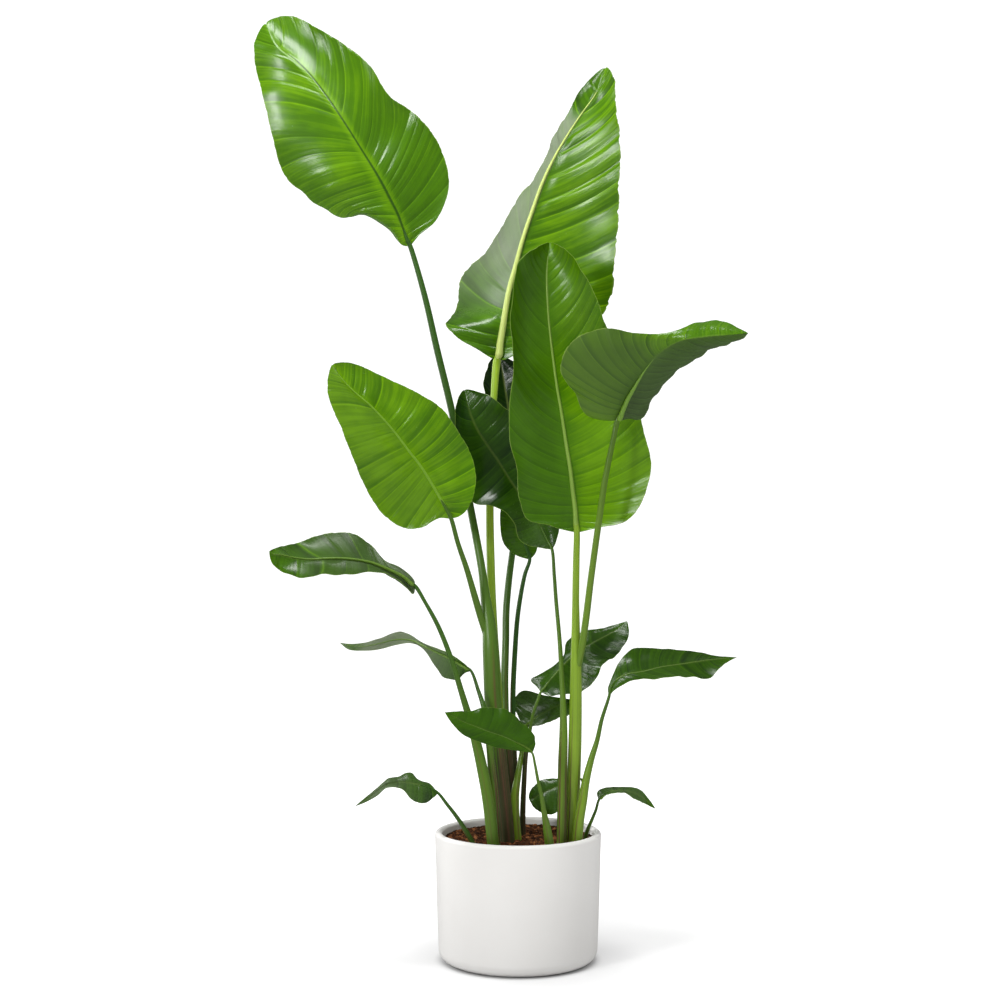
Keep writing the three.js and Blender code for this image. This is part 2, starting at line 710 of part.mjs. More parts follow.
function soilGeometry() {
  const side = (z) => outerRadius(z) - POT_WALL - SOIL_GAP;
  const profile = [new THREE.Vector2(0, POT_FLOOR + SOIL_GAP)];
  profile.push(new THREE.Vector2(side(POT_FLOOR), POT_FLOOR + SOIL_GAP));
  for (let ring = 0; ring <= SOIL_RINGS; ring += 1) {
    profile.push(new THREE.Vector2(side(SOIL_TOP) * (1 - ring / SOIL_RINGS), SOIL_TOP));
  }
  const block = latheGeometry(profile);
  const at = block.attributes.position;
  for (let i = 0; i < at.count; i += 1) {
    if (at.getZ(i) > SOIL_TOP - 1) {
      const wave = Math.sin(at.getX(i) / 17) * Math.cos(at.getY(i) / 23);
      at.setZ(i, SOIL_TOP + SOIL_LUMP * wave);
    }
  }
  let soil = manifoldOf(block);
  for (const leaf of LEAVES) {
    soil = soil.subtract(manifoldOf(stalkGeometry(leaf, SOIL_HOLE_GAP)));
  }
  return geometryOf(soil);
}

// The blade with room for the top of its stalk.
function trimmedBlade(leaf) {
  const blade = manifoldOf(bladeGeometry(leaf));
  return geometryOf(blade.subtract(manifoldOf(stalkGeometry(leaf, STALK_SEAT_GAP))));
}

// Assembly

const plant = new THREE.Group();

function addPiece(name, geometry, colour, roughness) {
  geometry.computeVertexNormals();
  const material = new THREE.MeshStandardMaterial({ color: colour, roughness, metalness: 0 });
  const mesh = new THREE.Mesh(geometry, material);
  mesh.name = name;
  plant.add(mesh);
}

for (const leaf of LEAVES) {
  const colour = DARK_LEAVES.includes(leaf.name) ? COLOURS.darkBlade : COLOURS.blade;
  addPiece(`${leaf.name}_blade`, trimmedBlade(leaf), colour, 0.35);
  addPiece(`${leaf.name}_stalk`, seatedStalk(leaf), COLOURS.stalk, 0.45);
}
addPiece("potting_soil", soilGeometry(), COLOURS.soil, 0.95);
addPiece("planter_pot", potGeometry(), COLOURS.pot, 0.55);

export default plant;
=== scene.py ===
"""A potted bird of paradise: leaf blades, stalks, soil and pot, each finished as a modelled
piece in place of its part in model.glb. Lengths are metres, apart from the traced leaves,
which have pixels of the photo and millimetres."""

import math
import random

import bpy
import numpy as np
from mathutils import Matrix, Vector, noise


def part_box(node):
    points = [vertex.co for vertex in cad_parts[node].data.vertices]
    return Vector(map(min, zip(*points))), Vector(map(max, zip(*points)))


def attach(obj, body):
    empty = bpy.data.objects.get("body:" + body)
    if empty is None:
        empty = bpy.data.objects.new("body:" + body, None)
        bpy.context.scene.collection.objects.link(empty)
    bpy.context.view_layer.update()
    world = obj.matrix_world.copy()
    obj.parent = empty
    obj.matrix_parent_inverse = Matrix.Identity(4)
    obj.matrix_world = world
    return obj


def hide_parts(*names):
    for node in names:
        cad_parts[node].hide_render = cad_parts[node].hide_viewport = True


bl_info = {
    "name": "Potted bird of paradise",
    "version": (1, 0, 0),
    "blender": (4, 5, 0),
    "location": "3D View > Sidebar > Plant",
    "description": "Builds a potted bird of paradise, piece by piece",
    "category": "Add Mesh",
}

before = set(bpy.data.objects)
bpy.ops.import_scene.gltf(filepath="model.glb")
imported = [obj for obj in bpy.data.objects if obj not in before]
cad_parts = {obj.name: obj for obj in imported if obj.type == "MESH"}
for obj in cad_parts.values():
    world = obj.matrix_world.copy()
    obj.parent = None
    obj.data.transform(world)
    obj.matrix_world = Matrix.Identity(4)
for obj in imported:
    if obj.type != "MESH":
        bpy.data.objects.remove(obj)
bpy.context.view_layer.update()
_, POT_HIGH = (Vector(corner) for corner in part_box("planter_pot"))
SOIL_LOW, SOIL_HIGH = (Vector(corner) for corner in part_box("potting_soil"))
MM = 0.001

# Steps of the meshes, along and across, and the length past which a blade has the fine ones
BIG_BLADE_LENGTH = 0.3
BIG_BLADE_STEPS = (320, 56)
SMALL_BLADE_STEPS = (150, 34)
RIB_STEPS = (90, 12)
STALK_STEPS = (110, 36)
SOIL_STEPS = 150
POT_STEPS = 160
RIM_STEPS, FOOT_STEPS = 16, 12
JOIN_STEPS = 9
LENGTH_SAMPLES = 60

# Distance at which vertices are one, the least divisor, and a whole turn for random angles
SAME_PLACE = 1e-6
TINY = 1e-9
FULL_TURN = 6.28

# Angles in degrees past which an edge stays sharp
BLADE_SHARP, STALK_SHARP, BODY_SHARP = 75, 70, 50

# Blade's sheet: folds in degrees, and the rest as shares of its length or half width
FOLD_STARTS, FOLD_FULL = 45, 80
FOLD_SOFTNESS = 0.035
END_PROBE, END_CLOSES = 1e-3, 0.9995
BULGE_LIMITS, WIDENING_LIMITS = (-0.7, 6), (-0.5, 40)
NORMAL_INSET, NORMAL_ALONG, NORMAL_ACROSS = 0.012, 0.004, 0.02
END_CROWDING, RIB_CROWDING = 0.5, 1.3
DRAFT_THICKNESS = 0.01
TIP_THINS, TIP_THINS_BY = (0.9, 1.0), 0.6
END_SHARE = 0.01

# Blade's veins: how many at least, their sizes and which of these is the right half's
# first, sway as size and rate, bow as a straight and a curved share, shape of a pleat,
# where pleats and waves start and ease off, and the half widths that have them in full
FEWEST_VEINS = 8
VEIN_SIZES = (0.25, 1.35)
VEIN_SIZE_COUNT, RIGHT_VEINS_FROM = 240, 90
VEIN_SWAY = ((0.30, 9.0), (0.16, 31.0))
VEIN_BOW = (0.55, 0.45)
VEIN_CREST = 0.86
RISE_POWER, SWELL_POWER, SHINGLE_SHARE = 1.2, 0.8, 0.6
PLEATS_START, PLEATS_EASE, PLEATS_EASE_BY = (0.03, 0.2), (0.8, 1.0), 0.45
WAVES_START, WAVES_EASE, WAVES_EASE_BY = (0.0, 0.12), (0.85, 1.0), 0.5
WAVE_WIDTH, ROLL_WIDTH = 0.06, 0.08
ROLL_ALONG, ROLL_ACROSS = 3.1, 0.5

# Blade's margin notches, as shares of its half width, and the channel along its rib
NOTCH, NOTCH_LIMITS, NOTCH_POWER = 0.005, (-3, 0.6), 8
CHANNEL_WIDTH, CHANNEL_NARROWS_BY = 0.003, 0.6
CHANNEL_DEPTH, SUNK_RIB_DEPTH = 0.3, 0.35

# Blade's marks: where its halves meet, where the wax with its painted sheen and the rib's tone
# fade, vein contrast
HALVES_MEET = 0.03
WAX_AND_SHEEN_FADES, RIB_FADES = (0.76, 0.88), (0.82, 0.97)
MOST_CONTRAST, MORE_CONTRAST = 1.2, 0.1

# Rib, as shares of the blade's length and of its own radius, and its least radius
RIB_REACH, RIB_SETS_IN, RIB_START = 0.93, (0.0, 0.07), 0.1
RIB_TAPER, THINNEST_RIB = 1.1, 0.0003
RIB_FLATTENS_OVER, RIB_FLATTENS_BY = 0.3, 0.85
RIB_TONE_STARTS = (0, 0.1)

# Stalk: radii inside its blade as shares of that at its tip, where its tone turns and its
# sheath starts as shares of its length, its lip's place in half turns, rise as a share of
# the radius, spread and width in radians, and the heights between which the dry lip ends
STALK_STARTS_IN_BLADE = (0.4, 0.85)
STALK_TONE_TURNS = (0.1, 0.75)
SHEATH_STARTS, SHEATH_OVAL = (0.5, 0.75), 0.03
LIP_TURNS, LIP_RISE, LIP_SPREAD = (0.25, 0.7), 0.12, 0.9
DRY_LIP_STARTS, DRY_LIP_WIDTH, DRY_LIP_HEIGHT = (0.5, 0.7), 0.3, (0.5, 0.6)

# Soil: how close its lumps and grains lie, how rough they are, and its chips and fibres
LUMP_PITCH, GRIT_PITCH = 28, 190
LUMP_FRACTAL, GRIT_FRACTAL = (1.0, 2.1, 4), (0.8, 2.2, 3)
SOIL_SEED = 0.3
BED_DEPTH, BED_TONE = 0.03, 0.14
CHIP_TO_WALL, CHIP_LIFT = 0.008, 0.3
CHIP_FLATNESS, CHIP_TILT, CHIP_ROUGHNESS = (0.5, 1.0), (-0.35, 0.35), (0.7, 1.25)
FIBRE_SHARE, DARK_SHARE = 0.3, 0.72
FIBRE_LENGTH, FIBRE_WIDTH = (0.004, 0.011), (0.0003, 0.0006)
CHIP_LENGTH, CHIP_WIDTH_SHARE = (0.0015, 0.005), (0.4, 0.9)
DARK_TONES, LIGHT_TONES = (0.1, 0.55), (0.6, 1.0)

# Pot's inside: how far its wall leans out and how wide the bevel at its floor is
WALL_LEAN, FLOOR_BEVEL = 0.001, 0.006

# Colours that the looks' own are mixed with
RIB_SHADOW = (0.008, 0.035, 0.004)
DULL_STREAK = (0.02, 0.05, 0.015)
PALE_MARGIN = (0.24, 0.36, 0.06)
LIGHT_THROUGH = (1.0, 0.92, 0.35)
RIB_PATCH = (0.16, 0.26, 0.02)
STALK_STREAK = (0.045, 0.10, 0.018)
STALK_FLECK = (0.11, 0.17, 0.02)
DAMP_COIR = (0.085, 0.028, 0.008)
GLAZE_SHADE = (0.56, 0.54, 0.51)

# Shares of the leaf's shading, with a painted highlight on the paler vein ridges and painted
# shade below each pleat's step, and its refraction
VEIN_PALE_AND_HIGHLIGHT, VEIN_SHADE, FINE_VEINS, PATCHES = 0.22, -0.15, 0.13, 0.42
UNDERSIDE_SHARE, LIGHT_THROUGH_SHARE = 0.62, 0.24
LEAF_IOR = 1.45

# Stage: where each light stands, what it points at, its size and whether gloss shows it,
# and each plane's middle, its two half sizes as directions, and its grey
LIGHTS = {
    "key": ((-2.3, -2.6, 2.2), (0, 0, 1.0), (0.6, 1.3), True),
    "fill": ((2.7, -1.6, 1.3), (0, 0, 0.8), (1.2, 2.0), False),
    "left": ((-2.0, 1.25, 1.5), (0, 0, 1.2), (1.3, 2.2), True),
    "top": ((-0.2, -0.8, 3.3), (0, 0, 1.0), (1.6, 0.8), True),
}
PLANES = {
    "floor": ((0, -0.5, 0), (12, 0, 0), (0, 6, 0), 0.4),
    "wall": ((0, 5.5, 5), (12, 0, 0), (0, 0, -5), 0.2),
}

# Distances from the pot's axis over which its painted tight and wide shade fade out, the
# wide one's tone, those over which the dimmer glow near it, also painted shade, turns into
# the far glow, and the sensor's width in mm
TIGHT_SHADE, WIDE_SHADE, WIDE_SHADE_TONE = (0.125, 0.155), (0.14, 0.27), 0.80
NEAR_GLOW = (0.12, 0.9)
SENSOR_WIDTH = 36
STAGE_ROUGHNESS = 0.7

# The photo's middle and its lens, in its 1000 x 1000 pixels, and the camera's place in mm
PHOTO_MIDDLE = 500
LENS_PIXELS = 1799
CAMERA_X = -32.5
CAMERA_DISTANCE = 3250
CAMERA_HEIGHT = 829

# Each row of points crosses a blade from its left margin over the rib to its right margin,
# and the rows run from the stalk to the tip. A row of four has a fold between the left
# margin and the rib. side, 1 or -1, says which way a blade is cambered, and face which way
# its upper face looks. A stalk's points run down from the blade. Each point is traced on
# the photo: its pixels from the left and from the top, then how many millimetres it lies
# behind the pot's axis and, on a stalk, the radius there in millimetres. tones are the
# leaf's greens, from 0 (deep) to 1 (bright), at the left base, left tip, right base and
# right tip: partly the leaf's own green and partly painted light and shade, where a half
# or an end is lit, shaded or glowing with light through it. bloom is a greyish wax at the
# same corners that roughens the face and carries a painted grey sheen in place of grazing
# reflections, and dull is 1 there where a face keeps its own finish and 0 where the upper
# and lower finish change places.
# PLAIN_LEAF holds what a leaf has where its own entry says nothing else.
PLAIN_LEAF = {
    "side": 1, "face": -1, "camber": 0.1, "slot": "leaf", "spacing": 1,
    "slant": (0.05, 0.05), "dull": (1, 1, 1, 1), "bloom": (0, 0, 0, 0),
    "rib": 0.1, "rib_end": 1.3, "sink": 1.1, "round": (0.4, 0.4),
}
TRACED_LEAVES = {
    "tall_left_leaf": {
        "tones": (0.52, 0.58, 0.41, 0.55), "slant": (-0.01, 0.13), "pleat": 0.7,
        "spacing": 1.15, "rib": -1, "sink": 1.35, "round": (0.5, 0.5),
        "stalk_tone": (0.02, 0.15), "dryness": 0.9, "tip_radius": 4.5,
        "rows": [
            [(410, 246, 20)],
            [(400, 241, 30), (403, 245, 18), (408, 241, 17), (420, 234, 26)],
            [(386, 227, 30), (392, 229, 8), (404, 230, 13), (438, 218, 34)],
            [(360, 214, 30), (371, 213, 5), (398, 214, 8), (449, 185, 40)],
            [(343, 219.5, 40), (354, 208, 6), (391, 199, 4), (444, 157, 42)],
            [(321, 208, 34), (341, 198, 4), (384, 186, 1), (434, 136, 40)],
            [(306, 193.5, 26), (335, 183, -2), (376, 172, 0), (423, 122, 38)],
            [(284, 174, 22), (322, 160, -4), (367, 158, -1), (411, 111, 36)],
            [(272, 131, 10), (312, 133, -6), (356, 141, -3), (389, 95, 24)],
            [(262, 93, 10), (298, 98, -2), (338, 113, -2), (371, 67, 14)],
            [(255, 68, 24), (286, 73, 8), (318, 85, 4), (345, 45, 12)],
            [(254.5, 50, 28), (276, 55, 13), (298, 62, 9), (318, 28.5, 22)],
            [(256, 39, 42), (269, 43, 22), (280, 47, 16), (290, 16, 40)],
            [(266, 24, 42)],
        ],
        "stalk": [
            (424.2, 295, 24, 5.5), (437.2, 350, 28, 6.2), (452.2, 412, 30, 6.5),
            (470.5, 508, 20, 6.8), (482, 570, -8, 7), (486, 600, -24, 9), (489, 625, -34, 12),
            (490.5, 650, -42, 14), (493, 700, -47, 14.5), (497.5, 750, -48, 14.5),
            (503, 800, -46, 14), (509, 866, -40, 13.5),
        ],
    },
    "tall_right_leaf": {
        "camber": 0.06, "tones": (0.42, 0.44, 0.58, 0.6), "slant": (0.08, 0.05), "pleat": 1.7,
        "spacing": 1.7, "bloom": (-0.8, 2.5, 0, 0), "rib": 1, "sink": 0.1, "round": (0.5, 0.8),
        "stalk_tone": (1, 0.45), "dryness": 1, "tip_radius": 7.4,
        "rows": [
            [(497, 361, 60)],
            [(484, 354, 48), (499, 354, 58), (508, 358, 50)],
            [(462, 342, 46), (500, 345, 56), (530, 346, 40)],
            [(446.5, 326.5, 50), (503, 328, 53), (566, 336, 30)],
            [(457, 308, 128), (506, 310, 51), (600, 317, 30)],
            [(462, 276, 176), (510, 290, 50), (612, 293, 28)],
            [(480, 256, 196), (516, 268, 49), (616, 255, 20)],
            [(500, 230, 202), (524, 240, 48), (618.5, 220, 10)],
            [(517, 204, 198), (533, 212, 47), (619, 190, 0)],
            [(535, 178, 182), (543, 184, 45), (620, 160, -6)],
            [(548, 153, 152), (555, 158, 42), (618.5, 130, -8)],
            [(555, 132, 108), (568, 135, 38), (617, 104, -4)],
            [(568, 112, 70), (582, 114, 34), (616, 85, 6)],
            [(584, 86, 44), (596, 93, 30), (612, 73, 14)],
            [(605, 68.5, 26)],
        ],
        "stalk": [
            (494, 400, 52, 6), (491, 460, 38, 6.5), (490, 510, 26, 7), (491, 570, 18, 7.5),
            (492, 600, 10, 7.5), (494, 640, -4, 7.5), (498, 700, -15, 8.5), (500, 750, -15, 9),
            (503, 800, -13, 10), (506, 866, -10, 11),
        ],
    },
    "centre_leaf": {
        "tones": (0.42, 0.38, 0.76, 0.5), "slant": (0.09, 0.11), "pleat": 0.5, "spacing": 0.9,
        "rib": 0.22, "sink": 0.4, "round": (0.6, 0.8), "stalk_tone": (0.62, 0.62),
        "dryness": 0.3, "tip_radius": 5.5, "rib_radius": 4.7,
        "rows": [
            [(577, 532, -55)],
            [(553, 527, -61), (576, 522, -56), (600, 527, -60)],
            [(527, 519, -69), (575, 511, -57), (626, 521, -65)],
            [(519, 497, -78), (573, 493, -58), (643, 499, -70)],
            [(517, 470, -87), (570, 470, -60), (650.5, 464, -76)],
            [(510.5, 437, -93), (566, 442, -61), (645, 433, -79)],
            [(511, 397, -98), (561, 412, -62), (636, 396, -82)],
            [(512.5, 362, -101), (556, 382, -63), (622, 360, -85)],
            [(510, 329, -104), (552, 352, -64), (608, 330, -88)],
            [(512, 297, -105), (549, 322, -65), (597, 303, -91)],
            [(517, 270, -104), (547, 297, -66), (587, 279, -92)],
            [(527, 254, -98), (546.5, 275, -66), (574, 257, -88)],
            [(538, 246.5, -86), (548, 257, -66), (561, 246.5, -80)],
            [(549.5, 243, -64)],
        ],
        "stalk": [
            (576.5, 560, -55, 6), (576, 600, -55, 6.3), (576, 630, -56, 7.5),
            (575.5, 660, -57, 9.5), (575.5, 700, -54, 11), (575, 740, -50, 11.5),
            (574, 780, -46, 11.5), (573, 800, -43, 11), (571, 842, -38, 11),
            (569, 866, -34, 11),
        ],
    },
    "mid_left_leaf": {
        "tones": (0.7, 0.68, 0.58, 0.63), "slant": (0.02, 0.08), "pleat": 0.7, "spacing": 0.95,
        "rib": 0.05, "sink": 0.75, "round": (0.7, 0.8), "stalk_tone": (0.1, 0.16),
        "dryness": 0.3, "tip_radius": 3.8, "rib_radius": 2.8,
        "rows": [
            [(451, 518, -75)],
            [(440, 518, -71), (447, 510, -79), (461, 515, -70)],
            [(424, 527, -66), (441, 500, -86), (471, 503, -66)],
            [(405, 528, -64), (432, 484, -94), (476, 478, -64)],
            [(383, 514, -65), (421, 466, -103), (471, 454, -65)],
            [(364, 485, -70), (409, 451, -112), (458, 431, -70)],
            [(353, 457, -77), (396, 434, -121), (442, 409, -77)],
            [(341, 427, -85), (383, 419, -129), (421, 395, -85)],
            [(330, 401, -96), (369, 404, -136), (393, 381, -96)],
            [(327, 384, -109), (354, 391, -141), (367, 369, -109)],
            [(329, 372, -126), (341, 377, -144), (347, 362.5, -126)],
            [(333, 365, -146)],
        ],
        "stalk": [
            (458, 543, -68, 4.2), (467, 570, -58, 5), (474.8, 597, -48, 5.8),
            (481.3, 618, -40, 6), (486, 632, -37, 6),
        ],
    },
    "right_arching_leaf": {
        "side": -1, "face": 1, "camber": 0.12, "tones": (0.96, 0.4, 0.28, 0.44),
        "slant": (0.07, 0.05), "pleat": 0.8, "spacing": 0.62, "dull": (4.2, -1.7, 1, 1),
        "bloom": (0, 0, 0.1, 0), "rib_end": 0.62, "sink": 1, "round": (0.7, 0.2),
        "stalk_tone": (0.2, 0.34), "dryness": 0.2, "tip_radius": 4.9,
        "rows": [
            [(617, 421, -112)],
            [(587, 416, -126), (619, 416, -114), (629, 419, -102)],
            [(574, 394, -143), (622, 409, -119), (642, 417, -95)],
            [(561, 370, -165), (627, 398, -127), (651, 402.5, -91)],
            [(572, 342, -181), (635, 385, -137), (664, 386, -95)],
            [(604, 328, -191), (646, 368, -151), (681, 370, -105)],
            [(636, 333, -193), (660, 353, -171), (697, 356.5, -129)],
            [(671, 332, -188), (680, 341, -196), (713, 348, -164)],
            [(699, 323, -194), (704, 337, -226), (728, 345, -206)],
            [(724, 322, -229), (728, 335, -257), (741, 340, -248)],
            [(748, 333, -287)],
        ],
        "stalk": [
            (613, 440, -110, 4.6), (605, 480, -106, 5.4), (599, 520, -100, 5.6),
            (591, 580, -88, 5.8), (586.5, 615, -78, 6), (582, 645, -68, 6), (578, 665, -60, 6),
        ],
    },
    "inner_dark_leaf": {
        "camber": 0.08, "slot": "dark_leaf", "tones": (0.22, 0.04, 0.12, 0.14),
        "slant": (0.06, 0.06), "pleat": 0.35, "bloom": (0.15, -0.2, 0, 0), "round": (0.6, 0.8),
        "stalk_tone": (0.12, 0.3), "dryness": 0.5, "tip_radius": 2.8, "rib_radius": 2,
        "rows": [
            [(552, 549, -10)],
            [(541, 547.5, -11), (548, 541, -5), (556, 542, -10)],
            [(522, 541, -11), (540, 525, 1), (560, 525, -9)],
            [(512, 521, -13), (526, 503, 7), (557, 500, -9)],
            [(497, 508, -16), (511, 481, 10), (550, 470, -10)],
            [(473, 502, -17), (498, 461, 10), (537, 441, -10)],
            [(460, 467, -17), (486, 443, 8), (521, 420, -10)],
            [(455, 430, -14), (476, 427, 6), (504, 407, -8)],
            [(456, 404, -3), (469, 409, 8), (486, 395, 0)],
            [(464.5, 390, 12)],
        ],
        "stalk": [
            (554, 575, -16, 3.2), (556, 600, -22, 3.5), (559.5, 640, -34, 3.8),
            (561.8, 680, -45, 4.5), (563.5, 710, -52, 6), (563.5, 740, -57, 7.5),
            (563, 760, -59, 8), (562.5, 800, -62, 8.5), (562, 842, -62, 8.7),
            (561, 866, -62, 9),
        ],
    },
    "rear_leaf": {
        "camber": 0.08, "slot": "dark_leaf", "tones": (0.06, 0.04, 0.06, 0.04),
        "slant": (0.06, 0.06), "pleat": 0.5, "rib": 0.3, "round": (0.6, 0.8),
        "stalk_tone": (0.05, 0.14), "dryness": 1, "tip_radius": 4.6,
        "rows": [
            [(519, 508, 120)],
            [(507, 498, 116), (518, 492, 124), (530, 494, 116)],
            [(495, 470, 114), (516, 468, 130), (545, 466, 114)],
            [(488, 435, 116), (513, 440, 136), (549, 435, 116)],
            [(486, 400, 120), (509, 412, 140), (543, 402, 120)],
            [(484.5, 376, 126), (505, 388, 144), (530, 375, 126)],
            [(490, 361, 137), (502, 368, 147), (514, 362, 137)],
            [(499, 356, 150)],
        ],
        "stalk": [
            (516, 525, 114, 5), (512, 555, 100, 6), (509, 580, 86, 6.2), (506.5, 610, 68, 6.4),
            (505.5, 640, 50, 6.5), (504.5, 680, 30, 6.8), (505, 720, 15, 7.2),
            (507, 750, 8, 7.5), (513, 800, 8, 8), (519, 866, 10, 9),
        ],
    },
    "rear_small_leaf": {
        "camber": 0.08, "slot": "dark_leaf", "tones": (0.34, 0.34, 0.3, 0.3),
        "slant": (0.06, 0.06), "pleat": 0.5, "rib": 0.15, "round": (0.6, 0.8),
        "stalk_tone": (-0.2, -0.2), "dryness": 1, "tip_radius": 3.2,
        "rows": [
            [(530, 559, 44)],
            [(516, 555, 47), (527, 550, 42), (536, 553, 47)],
            [(504, 544, 49), (522, 538, 39), (538, 541, 49)],
            [(500, 527, 50), (517, 525, 38), (535, 522, 50)],
            [(501, 508, 51), (511, 510, 40), (526, 503, 51)],
            [(506, 490, 46)],
        ],
        "stalk": [
            (525, 575, 46, 3.8), (520, 600, 45, 4.2), (517, 620, 42, 4.4), (515, 650, 36, 4.6),
            (513, 700, 28, 4.8), (514, 750, 28, 5), (516, 800, 35, 5.5), (514, 866, 44, 6),
        ],
    },
    "left_arching_leaf": {
        "side": -1, "tones": (0.22, 0.5, 0.22, 0.45), "slant": (0.09, 0.06), "pleat": 1.3,
        "spacing": 1.2, "dull": (2.5, -0.5, 2.5, -0.5), "bloom": (0.25, -0.3, 0.25, -0.3),
        "round": (0, 0.8), "stalk_tone": (0.04, 0.22), "dryness": 0.15, "tip_radius": 3.5,
        "rows": [
            [(415, 586, -100)],
            [(414, 580, -99), (410, 583.5, -102), (414, 593, -105)],
            [(401, 568, -95), (402, 578, -107), (406, 587.5, -117)],
            [(385, 560, -93), (388, 571, -115), (398, 580, -135)],
            [(371, 545, -76), (370, 564, -125), (384, 574, -151)],
            [(350, 533, -78), (350, 560, -137), (364, 573, -167)],
            [(328, 534, -88), (330, 559, -150), (342, 573, -182)],
            [(305, 540, -108), (311, 560, -163), (322, 574, -193)],
            [(287, 544.5, -134), (293, 558, -176), (302, 578, -201)],
            [(276, 548, -173), (280, 554.5, -187), (284, 573, -203)],
            [(271, 550, -188), (273, 554, -193), (272, 562, -200)],
            [(269, 552, -198)],
        ],
        "stalk": [
            (425, 602, -102, 3.2), (438.5, 627, -104, 4), (451.5, 660, -105, 4.6),
            (461, 690, -105, 5.2), (470, 720, -104, 6.5), (477, 745, -104, 8.5),
            (482.5, 770, -104, 9.3), (488, 800, -104, 10), (493, 840, -98, 10.3),
            (496, 866, -95, 10.5),
        ],
    },
    "left_twisted_leaf": {
        "camber": 0.06, "tones": (0.16, 0.6, 0.16, 0.5), "pleat": 1,
        "dull": (-0.6, 1.6, -0.6, 1.6), "bloom": (-0.1, 1.3, -0.1, 1.3), "rib": -0.1,
        "sink": 1.2, "round": (0, 0), "stalk_tone": (0.05, 0.28), "dryness": 0.5,
        "tip_radius": 2.4,
        "rows": [
            [(471, 671, -60)],
            [(466, 665, -64), (465, 666.5, -60), (466, 673, -54)],
            [(458, 659, -66), (456, 661, -58), (457, 680, -46)],
            [(448, 653, -64), (446, 656, -54), (443, 676, -38)],
            [(438, 649, -60), (436, 651, -50), (434, 664, -38)],
            [(424, 643, -47), (423, 645, -44), (423, 648.5, -40)],
            [(408, 634, -28), (410, 640.5, -36), (410, 643, -41)],
            [(396, 632, -16), (396, 640, -28), (396, 645, -36)],
            [(381, 637.5, -10), (380, 643.5, -20), (378, 649.5, -28)],
            [(365, 642.5, -6), (364, 646.5, -12), (361, 651, -18)],
            [(350, 644, -3), (350, 646, -6), (348, 649.5, -9)],
            [(340, 643, 0)],
        ],
        "stalk": [
            (478, 690, -72, 3.4), (485, 712, -83, 5), (489.5, 745, -89, 6.3),
            (491.5, 770, -88, 6.8), (494.5, 800, -85, 6), (497, 842, -81, 6),
            (498, 866, -80, 6),
        ],
    },
    "front_leaf": {
        "face": 1, "camber": 0.08, "slot": "dark_leaf", "tones": (0.2, 0.26, 0.2, 0.26),
        "pleat": 0.25, "rib": 0.05, "sink": 1, "round": (0.4, 0), "stalk_tone": (0.2, 0.28),
        "dryness": 0.1, "tip_radius": 1.9, "rib_radius": 1.5,
        "rows": [
            [(532, 753, -150)],
            [(535, 744, -143), (527, 748, -153), (525, 752, -157)],
            [(533, 735, -140), (516, 742, -160), (509, 750, -168)],
            [(522, 721, -141), (503, 736.5, -169), (492, 746, -181)],
            [(505, 710, -148), (490, 732, -178), (476, 740.5, -190)],
            [(487, 708.5, -161), (476, 727, -187), (464, 735, -199)],
            [(470, 710.5, -177), (464, 722, -195), (455, 727, -205)],
            [(458, 711.5, -194), (454, 716.5, -202), (449, 719.5, -207)],
            [(445, 712.5, -208)],
        ],
        "stalk": [
            (535, 765, -146, 2.3), (538, 780, -140, 2.8), (541, 795, -132, 3.2),
            (544, 812, -122, 4.5), (547, 830, -110, 7), (550, 848, -103, 8), (552, 866, -98, 8),
        ],
    },
    "low_right_rear_leaf": {
        "camber": 0.08, "slot": "dark_leaf", "tones": (0.22, 0.28, 0.18, 0.24), "pleat": 0.4,
        "sink": 1, "stalk_tone": (0.2, 0.1), "dryness": 0.8, "tip_radius": 2.2,
        "rib_radius": 1.3,
        "rows": [
            [(541, 692, 15)],
            [(537, 687, 21), (545, 687, 17), (550, 696, 9)],
            [(531, 679, 33), (551, 679, 21), (563, 695, 7)],
            [(543, 673.5, 43), (558, 671, 27), (580, 692, 9)],
            [(563, 657, 54), (568, 660, 34), (593, 682, 12)],
            [(567, 641, 65), (578, 651, 43), (602, 666, 19)],
            [(583, 631.5, 76), (592, 643, 54), (612, 659.5, 32)],
            [(600, 629, 84), (605, 636, 66), (621, 650, 50)],
            [(614, 625, 88), (617, 629, 78), (628.5, 634, 69)],
            [(627, 621, 88)],
        ],
        "stalk": [
            (537, 702, 13, 2.8), (533, 715, 12, 3), (530, 730, 12, 3.3), (526, 752, 13, 4),
            (524, 785, 21, 4.5), (523, 815, 28, 5), (523, 866, 34, 5.5),
        ],
    },
    "low_middle_leaf": {
        "camber": 0.08, "slot": "dark_leaf", "tones": (0.26, 0.28, 0.34, 0.3), "pleat": 0.3,
        "bloom": (0.1, 0.1, 0.1, 0.1), "stalk_tone": (0.25, 0.62), "dryness": 0.25,
        "tip_radius": 2.8, "rib_radius": 2,
        "rows": [
            [(524, 728, 40)],
            [(518, 717, 49), (529, 723, 41), (536, 725.5, 35)],
            [(513, 704, 58), (538, 716, 44), (548, 722.5, 32)],
            [(522, 691, 66), (549, 710, 48), (562, 717, 32)],
            [(545, 695.5, 66), (560, 705, 52), (573, 711, 40)],
            [(578, 701, 56)],
        ],
        "stalk": [
            (521.5, 752, 24, 4.2), (518, 775, 2, 6), (515, 800, -16, 7.8), (519, 866, -24, 8.5),
        ],
    },
    "low_right_leaf": {
        "camber": 0.08, "tones": (0.22, 0.28, 0.28, 0.28), "slant": (0.06, 0.06), "pleat": 0.8,
        "sink": 1, "round": (0.3, 0), "stalk_tone": (0.1, 0.5), "dryness": 0.1,
        "tip_radius": 2.7, "rib_radius": 1.9,
        "rows": [
            [(609, 696, -60)],
            [(608, 689, -56), (611, 687, -59), (614, 691, -63)],
            [(612, 677, -43), (616, 680, -57), (624, 684.5, -69)],
